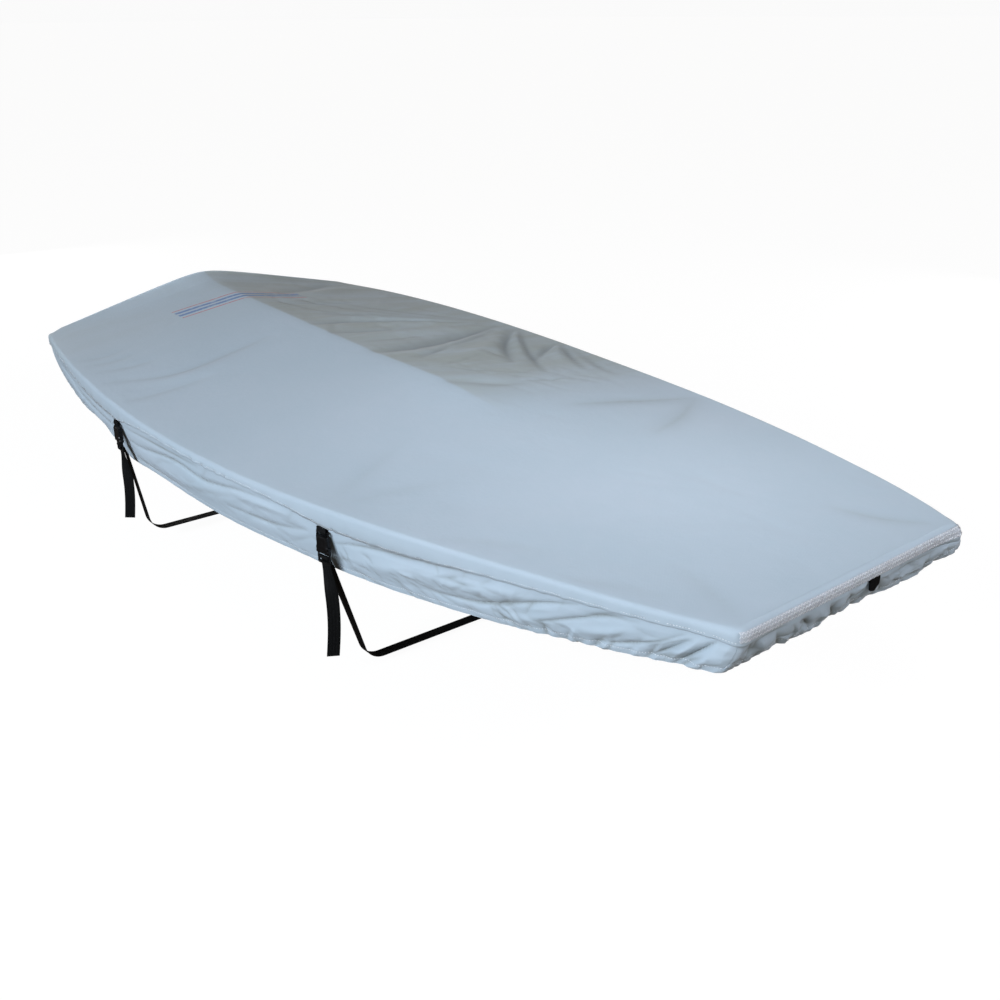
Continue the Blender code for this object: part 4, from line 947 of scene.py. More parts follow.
def printed_stripes(tree, place, under):
    """Ink printed over the cloth: plain stripes, worn a little where the ridge rubs."""
    colours = bpy.context.scene.cover_colours
    x, y, _ = parts_of(tree, place)
    slanted = maths(tree, "MULTIPLY_ADD", y, -STRIPE_SLANT, x)
    away = maths(tree, "ABSOLUTE", maths(tree, "SUBTRACT", slanted, PRINT_PLACE))
    middle, half = sum(STRIPE_ENDS) / 2, (STRIPE_ENDS[1] - STRIPE_ENDS[0]) / 2
    worn = mapped(tree, noise(tree, place, 70.0, 5.0), 0.30, 0.48, 0.35, 0.90)
    inked = maths(tree, "MULTIPLY", maths(tree, "COMPARE", y, middle, half), worn)
    for at, wide, ink in ((STRIPE_PLACE, STRIPE_HALF, colours.stripe), (LINE_PLACE, LINE_HALF, colours.line)):
        share = maths(tree, "MULTIPLY", maths(tree, "COMPARE", away, at, wide), inked)
        under = mixed(tree, share, under, rgba(ink))
    return under


def tape_finish(name):
    """Woven polycotton tape, ribbed across its length and left uncoated, so it is dull and pale."""
    tape = bpy.context.scene.cover_colours.tape
    made, tree, shader, place, weave = new_finish(name)
    ribs = waves(tree, parts_of(tree, weave)[0], TAPE_RIB_SPACING)
    height = maths(tree, "MULTIPLY_ADD", ribs, 0.18, noise(tree, place, 120.0, 4.0))
    # Painted shade: the grooves between the ribs are painted darker, and the noise varies the tone at random.
    set_inputs(tree, shader, {
        "Base Color": mixed(tree, mapped(tree, height, 0.25, 0.70), rgba(c * 0.72 for c in tape), rgba(tape)),
        "Normal": bump(tree, height, 0.6, 0.0004),
        "Roughness": 0.82,
        "Sheen Weight": 0.15,
    })
    return made


def webbing_finish(name):
    """Black polypropylene webbing. Its coarse, slightly glossy ribs run across it in chevrons."""
    black = bpy.context.scene.cover_colours.webbing
    made, tree, shader, place, weave = new_finish(name)
    along, across, _ = parts_of(tree, weave)
    ribs = waves(tree, maths(tree, "ADD", along, maths(tree, "PINGPONG", across, CHEVRON)), RIB_SPACING)
    height = maths(tree, "MULTIPLY_ADD", ribs, 0.30, noise(tree, place, 300.0, 3.0))
    # Painted highlight: the ribs' crowns are painted lighter, and the noise varies the tone at random.
    lighter = rgba(c * 2.2 + 0.001 for c in black)
    set_inputs(tree, shader, {
        "Base Color": mixed(tree, mapped(tree, height, 0.35, 0.85), rgba(black), lighter),
        "Normal": bump(tree, height, 0.8, 0.0004),
        "Roughness": 0.62,
        "Specular IOR Level": 0.12,
    })
    return made


def acetal_finish(name):
    """Moulded acetal, black. The mould's fine spark-eroded grain breaks up a soft gloss."""
    black = bpy.context.scene.cover_colours.fitting
    made, tree, shader, place, _ = new_finish(name)
    scuffs = noise(tree, place, 120.0, 6.0)
    lighter = rgba(c * 2.0 + 0.002 for c in black)
    set_inputs(tree, shader, {
        "Base Color": mixed(tree, mapped(tree, scuffs, 0.52, 0.72), rgba(black), lighter),
        "Roughness": mapped(tree, scuffs, 0.3, 0.7, 0.34, 0.50),
        "Normal": bump(tree, noise(tree, place, 900.0, 2.0), 0.25, 0.0001),
        "IOR": 1.48,
        "Specular IOR Level": 0.28,
    })
    return made


def thread_finish(name):
    """Polyester sewing thread. Its filaments shine a little, and it picks up some dust."""
    thread = bpy.context.scene.cover_colours.thread
    made, tree, shader, place, _ = new_finish(name)
    dust = noise(tree, place, 160.0, 3.0)
    set_inputs(tree, shader, {
        "Base Color": mixed(tree, dust, rgba(c * 0.62 for c in thread), rgba(thread)),
        "Roughness": 0.5,
        "Sheen Weight": 0.2,
    })
    return made


# The materials by what they are made of, and what makes each.
FINISHES = {
    "coated polycotton, blue-grey": cloth_finish,
    "coated polycotton, blue-grey, with printed stripes": lambda name: cloth_finish(name, True),
    "woven polycotton tape, pale blue-grey": tape_finish,
    "woven polypropylene webbing, black": webbing_finish,
    "moulded acetal, black": acetal_finish,
    "polyester thread, pale grey": thread_finish,
}


def finish(name):
    """A material by its name, made the first time that it is asked for."""
    return bpy.data.materials.get(name) or FINISHES[name](name)


# ---------------------------------------------------------------- the cloth pieces
def store_values(mesh, name, values):
    """Keeps a value at each point for the cloth's material, such as how deep in a crease it lies."""
    attribute = mesh.attributes.new(name, "FLOAT", "POINT")
    attribute.data.foreach_set("value", np.asarray(values, np.float32).ravel())


# How dark the painted shade in the creases is: in a trough, which would be all dark at one depth but is
# held to a most, and in the narrow line of a crisp crease, by its half width and the depth of an all
# dark one. On the top, the first is what is left of it to port of the ridge and to starboard.
TOP_TROUGH, TOP_TROUGH_DEPTH, TOP_TROUGH_MOST = (1.0, 0.6), 0.011, 0.55
TOP_LINE, TOP_LINE_HALF, TOP_LINE_DEPTH = (0.85, 0.30), 0.0045, 0.008
SKIRT_TROUGH_DEPTH, SKIRT_TROUGH_MOST = 0.013, 0.5
SKIRT_LINE, SKIRT_LINE_HALF, SKIRT_LINE_DEPTH = 0.9, 0.0026, 0.004
SKIRT_UNSHADED = 0.03  # share of the skirt's depth, at its seam, that has no painted shade
BAND_SHADE = 0.22  # how dark the painted shade on the turned-down band is at its seam
# The painted shade of the far slope: how softly it begins at the ridge, where it ends toward the bow
# and how softly, and then how much of it lies at the stern, where that ends and how softly.
SHADE_EDGE, SHADE_END, SHADE_FADE = 0.012, 0.30, 0.36
AFT_SHADE, AFT_SHADE_END, AFT_SHADE_FADE = 0.30, -0.60, 0.50
RING_DROP = 0.004  # how much further each ring of the band lies, in the weave's pattern


def top_rings(edge):
    """Rings of points that turn the top down over the edge, and on to just below the seam."""
    rings = []
    for angle in np.radians(TOP_ANGLES):
        down = edge.roll * (1 - math.cos(angle))
        rings.append(round_edge(edge, angle, band_swell(edge, down) * math.sin(angle)))
    for share in BAND_SHARES:
        down = edge.roll + share * (edge.seam + SEAM_LAP - edge.roll)
        band = beside(edge, band_swell(edge, down), down)
        rings.append(leant(edge, band, down - SIDE_SEAM - SEAM_LAP))
    return rings


def top_faces(rows, columns, count, rings):
    """Quads of a grid whose rim is the first ring, and of the rings, which have a count of points each."""
    port = rows + columns - 2
    numbers = np.full((rows, columns), -1)
    numbers[:, 0] = np.arange(rows)
    numbers[-1, :] = rows - 1 + np.arange(columns)
    numbers[:, -1] = port + np.arange(rows)[::-1]
    numbers[0, 1:-1] = port + rows - 1 + np.arange(1, columns - 1)[::-1]
    inner = np.arange((rows - 2) * (columns - 2)).reshape(rows - 2, columns - 2)
    numbers[1:-1, 1:-1] = rings * count + inner
    quads = np.stack([numbers[:-1, :-1], numbers[1:, :-1], numbers[1:, 1:], numbers[:-1, 1:]], -1)
    faces = [quads.reshape(-1, 4)]
    around = np.arange(count)
    for ring in range(rings - 1):
        a, b = around + ring * count, np.roll(around, -1) + ring * count
        faces.append(np.stack([a, a + count, b + count, b], -1))
    return np.concatenate(faces)


def paint_top_shade(mesh, px, py, ring, count):
    """Keeps the top's painted shade, in its creases, its band and its far slope; ring counts from 0 at the
    edge to count at the seam.
    """
    # The creases are painted darker, as shade, and more so on the far slope.
    deep = np.clip(-folded(TOP_FOLDS, px, py) / TOP_TROUGH_DEPTH, 0, TOP_TROUGH_MOST)
    crease_shade = np.where(py > 0, *TOP_TROUGH) * deep
    crease_shade += np.where(py > 0, *TOP_LINE) * dark_lines(TOP_FOLDS, px, py, TOP_LINE_HALF, TOP_LINE_DEPTH)
    # The turned-down band is painted darker toward its seam, as shade.
    crease_shade[: len(ring)] = BAND_SHADE * ring / count
    store_values(mesh, "crease", crease_shade)
    # Painted shade: the far slope, turned away from the light, is painted darker and warmer; the stern a
    # little.
    far = eased_step(py / SHADE_EDGE) * eased_step((SHADE_END - px) / SHADE_FADE)
    aft = eased_step((AFT_SHADE_END - px) / AFT_SHADE_FADE)
    store_values(mesh, "dust", far + (1 - far) * AFT_SHADE * aft)


def build_top_cloth():
    """The top: a grid under its ridge, with rings that turn it down over the edge to the seam."""
    across = fractions(TOP_COLUMNS)
    edge = stations(TOP_RUNS, across)
    rings = top_rings(edge)
    side = rings[0][1 : edge.rows - 1]
    x = np.broadcast_to(side[:, :1], (len(side), len(across) - 2))
    y = -side[:, 1:2] * across[1:-1]
    points = np.concatenate([*rings, np.stack([x, y, top_height(x, y)], -1).reshape(-1, 3)])
    px, py = points[:, 0], points[:, 1]
    mesh = bpy.data.meshes.new("top cloth")
    faces = top_faces(edge.rows, edge.columns, len(edge.level), len(rings))
    mesh.from_pydata(points.tolist(), [], faces.tolist())
    ring = np.repeat(np.arange(len(rings)), len(edge.level))
    drop = np.zeros(len(points))
    drop[: len(ring)] = RING_DROP * np.maximum(ring - len(TOP_ANGLES) + 1, 0)
    lay_pattern(mesh, np.stack([px, py + np.sign(py) * drop], -1))
    paint_top_shade(mesh, px, py, ring, len(rings) - 1)
    cloth = finish("coated polycotton, blue-grey, with printed stripes")
    made = new_piece("top_cloth", mesh, cloth, 0)
    thick = made.modifiers.new("cloth", "SOLIDIFY")
    thick.thickness, thick.offset, thick.use_even_offset = TOP_SOLID, -1.0, False
    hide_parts("top_panel")
    return made


def tape_run():
    """The stations from the middle of one bow corner to the middle of the other."""
    edge, half = stations(SKIRT_RUNS, fractions(TAPE_COLUMNS)), CORNER_STEPS // 2
    return part_of(edge, np.arange(edge.rows - 1 - half, edge.rows + edge.columns - 2 + half + 1))


def tape_place(run, angle, lift, down=None):
    """Points on the tape: over the roll at an angle, or below it at a depth."""
    reach = angle / 90 * run.roll if down is None else down
    pucker = TAPE_PUCKER * (1 + rippled(run.run + TAPE_SLANT * reach, TAPE_RIPPLES))
    if down is None:
        return round_edge(run, math.radians(angle), GAP + lift + pucker * math.sin(math.radians(angle)))
    return beside(run, GAP + lift + pucker, down)


def build_bow_tape():
    """The tape sewn over the turned-down edge at the bow, from corner to corner."""
    run = tape_run()
    places = [(angle, None) for angle in TAPE_ANGLES]
    places += [(90, run.roll + share * (TAPE_BOTTOM - run.roll)) for share in BAND_SHARES]
    outer, inner = (
        np.array([tape_place(run, angle, lift, down) for angle, down in places]) for lift in (TAPE_SHEET, 0.0)
    )
    mesh = closed_sheet(outer, inner, grid_pattern(outer))
    made = new_piece("bow_tape_cloth", mesh, finish("woven polycotton tape, pale blue-grey"))
    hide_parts("bow_tape")
    return made


# The skirt's lengths: drawn folds, rows of crumples, and the puckers' seed, rows, ends and hem.
SKIRTS = {
    "starboard": (STARBOARD_FOLDS, side_crumple_rows(21), 23, SIDE_PUCKERS, 1.15, starboard_hem),
    "port": (PORT_FOLDS, side_crumple_rows(31), 33, SIDE_PUCKERS, 1.15, port_hem),
    "bow": (BOW_FOLDS, BOW_CRUMPLE_ROWS, 42, BOW_PUCKERS, 0.29, bow_hem),
    "stern": (STERN_FOLDS, STERN_CRUMPLE_ROWS, 52, STERN_PUCKERS, 0.48, stern_hem),
}


def skirt_table(zone):
    """All the folds of one length of skirt: the drawn ones, its crumples and the hem's puckers."""
    folds, crumple_rows, *gathers = SKIRTS[zone]
    return folds + strewn(crumple_rows) + puckers(*gathers)


def skirt_place(edge, folds, down, depth):
    """Points of the skirt at depths below the edge, a thickness behind its outer face."""
    free = np.maximum(down - edge.seam, 0.0)
    share = free / (edge.hem - edge.seam)
    pressed = np.ones(edge.along.shape)
    sides = (edge.zone == 0) | (edge.zone == 2)
    for strap in STRAPS:
        dent = 1 - np.exp(-(((edge.along - strap.x) / STRAP_PRESS) ** 2))
        pressed = np.where(sides, pressed * dent, pressed)
    gather = bpy.context.scene.cover_sizes.gather
    swell = SKIRT_BILLOW * np.sin(np.pi * np.minimum(share, 1)) + gather * folded(folds, edge.along, down)
    swell = swell * pressed * np.minimum(1.0, share / SKIRT_FLAT)
    place = beside(edge, swell - PANEL_SHEET - GAP - depth, down)
    return leant(edge, place, down - np.minimum(edge.seam, SIDE_SEAM)), -swell


def skirt_run(zone):
    """The stations of one length of skirt, which ends half way round each corner."""
    edge = stations(SKIRT_RUNS, fractions(SKIRT_COLUMNS))
    half = CORNER_STEPS // 2
    bow, port = edge.rows - 1, edge.rows + edge.columns - 2
    stern = port + edge.rows - 1
    start, end = {
        "starboard": (half, bow - half),
        "bow": (bow - half, port + half),
        "port": (port + half, stern - half),
        "stern": (stern - half, len(edge.level) + half),
    }[zone]
    run = part_of(edge, np.arange(start, end + 1) % len(edge.level))
    if zone in ("bow", "stern"):
        run = run._replace(along=run.place[:, 1])
    for end, neighbour in ((0, 1), (-1, -2)):
        step = run.place[neighbour] - run.place[end]
        run.place[end] += step / np.linalg.norm(step) * CORNER_SLIT / 2
    return run


def build_skirt(zone):
    """One side or end of the skirt: sewn in behind the turned-down edge, and hemmed below."""
    run = skirt_run(zone)
    free = run.hem - run.seam
    down = run.seam + np.linspace(SKIRT_FIRST, 1.0, SKIRT_STEPS)[:, None] * free
    down = np.concatenate([[np.minimum(LAP_TOP, run.seam - LAP_LEAST)], [run.seam + BELOW_SEAM], down])
    channel = np.clip((down - (run.hem - HEM_CHANNEL)) / HEM_STEP, 0, 1)
    thickness = SKIRT_SHEET + (HEM_SHEET - SKIRT_SHEET) * channel
    folds = skirt_table(zone)
    sunk = HEM_SINK * np.exp(-(((down - run.hem + HEM_CHANNEL) / SINK_REACH) ** 2))
    outer, inward = skirt_place(run, folds, down, sunk)
    inner, _ = skirt_place(run, folds, down, thickness + sunk)
    mesh = closed_sheet(outer, inner, grid_pattern(outer))
    # Painted shade: the skirt's troughs and crisp creases are painted darker, except just under its seam.
    crease_shade = np.clip(inward / SKIRT_TROUGH_DEPTH, 0, SKIRT_TROUGH_MOST)
    crease_shade += SKIRT_LINE * dark_lines(folds, run.along, down, SKIRT_LINE_HALF, SKIRT_LINE_DEPTH)
    crease_shade = np.minimum(crease_shade, 1.0) * (down > run.seam + SKIRT_UNSHADED * free)
    store_values(mesh, "crease", np.tile(crease_shade.ravel(), 2))
    made = new_piece("skirt_cloth_" + zone, mesh, finish("coated polycotton, blue-grey"), 60)
    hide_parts("skirt_" + zone)
    return made


# ---------------------------------------------------------------- stitches, by Geometry Nodes
def stitch_tree(name, thread):
    """Stitches along a line. Each lies along it, or swings to one side and the other in turn."""
    tree = bpy.data.node_groups.new(name, "GeometryNodeTree")
    face = tree.interface
    face.new_socket("Geometry", in_out="INPUT", socket_type="NodeSocketGeometry")
    face.new_socket("Geometry", in_out="OUTPUT", socket_type="NodeSocketGeometry")
    sizes = {}
    for label, value in (("Pitch", 0.005), ("Length", 0.003), ("Thread", 0.001), ("Swing", 0.0)):
        socket = face.new_socket(label, in_out="INPUT", socket_type="NodeSocketFloat")
        socket.default_value = value
        sizes[label] = socket.identifier
    given = add_node(tree, "NodeGroupInput").outputs
    line = add_node(tree, "GeometryNodeMeshToCurve", None, {"Mesh": given["Geometry"]})
    spaced = add_node(tree, "GeometryNodeResampleCurve", {"mode": "LENGTH"},
                      {"Curve": line.outputs[0], "Length": given["Pitch"]})
    outward = add_node(tree, "GeometryNodeInputNamedAttribute", {"data_type": "FLOAT_VECTOR"},
                       {"Name": "outward"})
    tangent = add_node(tree, "GeometryNodeInputTangent")
    turned = add_node(tree, "FunctionNodeAxesToRotation", {"primary_axis": "Z", "secondary_axis": "X"},
                      {0: outward.outputs[0], 1: tangent.outputs[0]})
    odd = maths(tree, "MODULO", add_node(tree, "GeometryNodeInputIndex").outputs[0], 2.0)
    swing = maths(tree, "MULTIPLY", maths(tree, "MULTIPLY_ADD", odd, 2.0, -1.0), given["Swing"])
    swung = add_node(tree, "FunctionNodeAxisAngleToRotation", None, {"Axis": (0, 0, 1), "Angle": swing})
    aimed = add_node(tree, "FunctionNodeRotateRotation", {"rotation_space": "LOCAL"},
                     {0: turned.outputs[0], 1: swung.outputs[0]})
    bead = add_node(tree, "GeometryNodeMeshUVSphere", None, {"Segments": 6, "Rings": 4, "Radius": 0.5})
    stretch = add_node(tree, "ShaderNodeCombineXYZ", None,
                       {0: given["Length"], 1: given["Thread"], 2: given["Thread"]})
    stitch = add_node(tree, "GeometryNodeTransform", None,
                      {"Geometry": bead.outputs[0], "Scale": stretch.outputs[0]})
    placed = add_node(tree, "GeometryNodeInstanceOnPoints", None,
                      {"Points": spaced.outputs[0], "Instance": stitch.outputs[0],
                       "Rotation": aimed.outputs[0]})
    real = add_node(tree, "GeometryNodeRealizeInstances", None, {0: placed.outputs[0]})
    dressed = add_node(tree, "GeometryNodeSetMaterial", None,
                       {"Geometry": real.outputs[0], "Material": thread})
    add_node(tree, "NodeGroupOutput", None, {0: dressed.outputs[0]})
    return tree, sizes


def sew(name, lines, pitch, length, thread, swing=0.0):
    """Sews along lines of points, each with its outward directions, and leaves plain meshes."""
    points, outward, edges = [], [], []
    for line, facing in lines:
        base = len(points)
        points += line.tolist()
        outward += facing.tolist()
        edges += [(base + i, base + i + 1) for i in range(len(line) - 1)]
    guide = bpy.data.meshes.new(name + " line")
    guide.from_pydata(points, edges, [])
    attribute = guide.attributes.new("outward", "FLOAT_VECTOR", "POINT")
    attribute.data.foreach_set("vector", np.asarray(outward, np.float32).ravel())
    holder = bpy.data.objects.new(name + " line", guide)
    bpy.context.scene.collection.objects.link(holder)
    tree, sizes = stitch_tree(name, finish("polyester thread, pale grey"))
    modifier = holder.modifiers.new(name, "NODES")
    modifier.node_group = tree
    for label, value in (("Pitch", pitch), ("Length", length), ("Thread", thread), ("Swing", swing)):
        modifier[sizes[label]] = value
    graph = bpy.context.evaluated_depsgraph_get()
    graph.update()
    mesh = bpy.data.meshes.new_from_object(holder.evaluated_get(graph))
    bpy.data.objects.remove(holder)
    if not len(mesh.polygons):
        raise RuntimeError(f"no stitches were made for {name}")
    return new_piece(name, mesh, None, 0)


def facing(run, lift=0.0):
    """Outward directions at the stations, tipped up by a share."""
    out = np.concatenate([run.outward, np.full((len(run.level), 1), lift)], -1)
    return out / np.linalg.norm(out, axis=1)[:, None]


RUN_CLOSE = 0.004  # about the distance from the last station back to the first
SEAM_STITCHES = 0.0045  # their distance above the seam
STITCH_LIFT = 0.0002  # the thread's middle lies this far off the cloth
HEM_THREAD = 0.8  # thickness of the hem's thread, as a share of the seam's
ZIGZAG_ROWS = ((56, None), (77, None), (90, 0.0172))  # angle round the edge's roll, or depth below it
ZIGZAG_LENGTH, ZIGZAG_SWING = 0.0064, math.radians(50)


def build_stitching():
    """Seam, hem and tape stitches."""
    sizes = bpy.context.scene.cover_sizes
    pitch, length, thread = sizes.stitch_pitch, sizes.stitch_length, sizes.thread
    edge = stations(SKIRT_RUNS, fractions(SKIRT_COLUMNS))
    count, half = len(edge.level), CORNER_STEPS // 2
    bow_end = edge.rows + edge.columns - 2 + half
    round_boat = part_of(edge, np.arange(bow_end + 2, count + edge.rows - 1 - half - 1) % count)
    round_boat.run[:] = np.unwrap(round_boat.run, period=float(edge.run[-1]) + RUN_CLOSE)
    down = round_boat.seam - SEAM_STITCHES
    line = beside(round_boat, band_swell(round_boat, down) + STITCH_LIFT, down)
    line = leant(round_boat, line, down - SIDE_SEAM - SEAM_LAP)
    sew("seam_stitches", [(line, facing(round_boat))], pitch, length, thread)
    lines = []
    for zone in ZONES:
        run = skirt_run(zone)
        line, _ = skirt_place(run, skirt_table(zone), run.hem - HEM_CHANNEL, HEM_SINK - STITCH_LIFT)
        lines.append((line[2:-2], facing(run)[2:-2]))
    sew("hem_stitches", lines, pitch, length, thread * HEM_THREAD)
    run = tape_run()
    rows = []
    for angle, down in ZIGZAG_ROWS:
        line = tape_place(run, angle, TAPE_SHEET + STITCH_LIFT, down)
        rows.append((line, facing(run, 1 / math.tan(math.radians(angle)) if down is None else 0.0)))
    sew("tape_stitches", rows, sizes.zigzag_pitch, ZIGZAG_LENGTH, thread, ZIGZAG_SWING)


# ---------------------------------------------------------------- the webbing
def arc(centre, radius, start, end, steps):
    """Points of an arc in the plane of (out, down), from one angle to another in degrees."""
    angles = [math.radians(start + (end - start) * i / steps) for i in range(steps + 1)]
    return [(centre[0] + radius * math.cos(a), centre[1] - radius * math.sin(a)) for a in angles]


def rounded(points, radius, steps):
    """A path whose inner corners are rounded by arcs of one radius."""
    path = [points[0]]
    for before, corner, after in zip(points, points[1:], points[2:]):
        into, out_of = (corner - before).normalized(), (after - corner).normalized()
        turn = into.angle(out_of)
        reach = radius * math.tan(turn / 2)
        centre = corner + (out_of - into).normalized() * (radius / math.cos(turn / 2))
        start = corner - into * reach - centre
        axis = into.cross(out_of).normalized()
        for i in range(steps + 1):
            path.append(centre + Matrix.Rotation(turn * i / steps, 3, axis) @ start)
    return [*path, points[-1]]


def strap_place(strap, side):
    """The frame of a strap's fittings: on the boat's edge, X along it, -Y out of it and Z up."""
    x, step = strap.x, 0.01
    y = float(side * half_width(x))
    slope = float(half_width(x + step) - half_width(x - step)) / (2 * step)
    turn = math.atan(side * slope) + (math.pi if side > 0 else 0.0)
    return Matrix.Translation((x, y, float(edge_height(x)))) @ Matrix.Rotation(turn, 4, "Z")


# Half of the webbing's cross-section: share of the half width, share of the half thickness.
# Its woven edges are a little thicker than its middle.
WEBBING_SECTION = ((0.0, 0.90), (0.5, 0.90), (0.84, 0.92), (0.91, 1.0), (0.97, 0.86), (1.0, 0.0))


def ribbon_mesh(path, across):
    """Webbing along a path, whose width lies along one given direction at each point."""
    width = bpy.context.scene.cover_sizes.webbing_width
    top = [(-w, t) for w, t in reversed(WEBBING_SECTION)][:-1] + [*WEBBING_SECTION]
    section = np.array(top + [(w, -t) for w, t in reversed(top[1:-1])])
    section = section[::-1] * (width / 2, WEBBING_SHEET / 2)
    path = np.array([tuple(p) for p in path])
    across = np.array([tuple(a) for a in across])
    ahead = np.gradient(path, axis=0)
    ahead /= np.linalg.norm(ahead, axis=1)[:, None]
    thick = np.cross(ahead, across)
    thick /= np.linalg.norm(thick, axis=1)[:, None]
    points = (path[:, None] + across[:, None] * section[None, :, :1] + thick[:, None] * section[None, :, 1:])
    count, size = len(path), len(section)
    ring = np.arange(size)
    faces = []
    for row in range(count - 1):
        a, b = ring + row * size, np.roll(ring, -1) + row * size
        faces += np.stack([a, b, b + size, a + size], -1).tolist()
    faces += [ring[::-1].tolist(), (ring + (count - 1) * size).tolist()]
    mesh = bpy.data.meshes.new("webbing")
    mesh.from_pydata(points.reshape(-1, 3).tolist(), [], faces)
    run = np.concatenate([[0], np.cumsum(np.linalg.norm(np.diff(path, axis=0), axis=1))])
    u = np.repeat(run, size)
    v = np.tile(section[:, 0] + 1.0, count)
    lay_pattern(mesh, np.stack([u, v], -1))
    return mesh, float(run[-1])


def by_buckle(points):
    """Places by a buckle, from its middle and top, as distances outside and below the edge."""
    return [(BUCKLE_OUT + out, BUCKLE_TOP + down) for out, down in points]


def build_tab(strap):
    """The webbing loop that is sewn in under the edge and holds the buckle's socket by its bar."""
    place, top = strap_place(strap, -1), float(seam_depth(strap.x)) + TAB_START
    bar = (BUCKLE_OUT, BUCKLE_TOP + BAR_HALF)
    path = [(TAB_FRONT, top), *arc(bar, WRAP_RADIUS, *TAB_WRAP), (TAB_BACK, top)]
    points = []
    for out, down in path:
        share = min(max((BUCKLE_TOP - down) / (BUCKLE_TOP - top), 0.0), 1.0)
        points.append(place @ Vector((-TAB_SKEW * share, -out, -down)))
    across = [place.to_3x3() @ Vector((1, 0, 0))] * len(points)
    return ribbon_mesh(points, across)


def build_belly_strap(strap):
    """One length of webbing: from the port seam under the boat, through the clip, to its free tail."""
    place, port = strap_place(strap, -1), strap_place(strap, 1)
    sewn_end = port @ Vector((0, SEWN_IN, -(float(seam_depth(strap.x)) + TAB_START)))
    bilge, depth = strap.bilge_half_width, strap.bilge_depth
    loaded, freed = by_buckle(STRAP_LOADED), by_buckle(TAIL_FREED)
    threaded = [*loaded, *arc((BUCKLE_OUT, BUCKLE_TOP + MIDDLE_BAR), WRAP_RADIUS, *CLIP_WRAP), *freed]
    threaded = [place @ Vector((0, -out, -down)) for out, down in threaded]
    corners = [
        sewn_end,
        Vector((strap.x, bilge, -depth)),
        Vector((strap.x, 0.0, -depth - BOTTOM_SAG)),
        Vector((strap.x, -bilge, -depth)),
        threaded[0],
    ]
    path = rounded(corners, BILGE_RADIUS, BILGE_STEPS)
    across = [Vector((1, 0, 0))] * len(path)
    tilt_port, tilt_starboard = (p.to_3x3() @ Vector((1, 0, 0)) for p in (port, place))
    across[0] = -tilt_port
    across[-1] = tilt_starboard
    path += threaded[1:]
    across += [tilt_starboard] * len(threaded[1:])
    start = path[-1]
    for share in np.arange(1, TAIL_STEPS + 1) / TAIL_STEPS:
        forward, inward = (reach * math.sin(math.pi * share) for reach in TAIL_SWING)
        drop = start.z + (strap.tail_end - start.z) * share
        path.append(Vector((start.x + forward - strap.tail_aft * share, start.y + inward, drop)))
        turned = math.sin(min(share / TAIL_TURNED, 1.0) * math.pi / 2) ** 2
        turn = Matrix.Rotation(strap.tail_turn * turned, 3, "Z")
        across.append(turn @ tilt_starboard)
    return ribbon_mesh(path, across)


# The bow tab's two edges: shares of the way down them, and the points there, across the boat and
# below its edge. They meet at its lowest corner.
BOW_TAB_LEFT = (0, 0.84, 1), ((0.026, 0.0213), (0.028, 0.0430), (0.040, 0.0452))
BOW_TAB_RIGHT = (0, 0.70, 1), ((0.053, 0.0213), (0.053, 0.0360), (0.040, 0.0452))
BOW_TAB_BACK, BOW_TAB_SHEET, BOW_TAB_SWELL = 0.0015, 0.0030, 0.0006
BOW_TAB_STEPS = 9


def build_bow_tab():
    """The short doubled webbing tab under the tape at the bow, with its lower corner folded off."""
    steps = np.linspace(0, 1, BOW_TAB_STEPS)
    left, right = (
        np.stack([np.interp(steps, shares, [p[i] for p in points]) for i in (0, 1)], -1)
        for shares, points in (BOW_TAB_LEFT, BOW_TAB_RIGHT)
    )
    share = steps[None, :, None]
    flat = left[:, None] * (1 - share) + right[:, None] * share
    across, up = flat[..., 0], float(edge_height(LENGTH / 2)) - flat[..., 1]
    back = np.full(across.shape, LENGTH / 2 - BOW_TAB_BACK)
    swell = BOW_TAB_SWELL * np.sin(np.pi * share[..., 0])
    outer, inner = np.stack([back + BOW_TAB_SHEET + swell, across, up], -1), np.stack([back, across, up], -1)
    return closed_sheet(outer, inner, grid_pattern(outer))


def build_webbing():
    """The tabs, the belly straps and the tab at the bow."""
    black = finish("woven polypropylene webbing, black")
    for strap in STRAPS:
        mesh, length = build_tab(strap)
        tab = new_piece("tab_webbing_" + strap.name, mesh, black)
        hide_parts("webbing_tab_" + strap.name)
        mesh, length = build_belly_strap(strap)
        belly = new_piece("belly_webbing_" + strap.name, mesh, black)
        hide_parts("belly_strap_" + strap.name)
    tab = new_piece("bow_tab_webbing", build_bow_tab(), black)
    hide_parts("bow_tab")


def finish_buckles():
    """The buckles keep their solids, which get the moulded finish."""
    black = finish("moulded acetal, black")
    for name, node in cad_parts.items():
        if name.startswith("buckle_"):
            for slot in node.material_slots:
                slot.material = black


# ---------------------------------------------------------------- the stage
CAMERA_PLACE = Vector((2.048, -1.457, 0.846))
CAMERA_BEARING, CAMERA_DIP, CAMERA_ROLL = math.radians(140.97), math.radians(23.74), math.radians(-0.47)
CAMERA_LENS = 41.1  # mm, on a 36 mm sensor
FLOOR_LEVEL, FLOOR_HALF = -0.372, 82.0
WALL_RADIUS, WALL_SIDES = 80.0, 48  # far off, so that the walls look even, but within 100 m of a view
SKY_COLOUR, FLOOR_COLOUR, WALL_COLOUR = "FFE9D0", "4A4A4A", "101010"

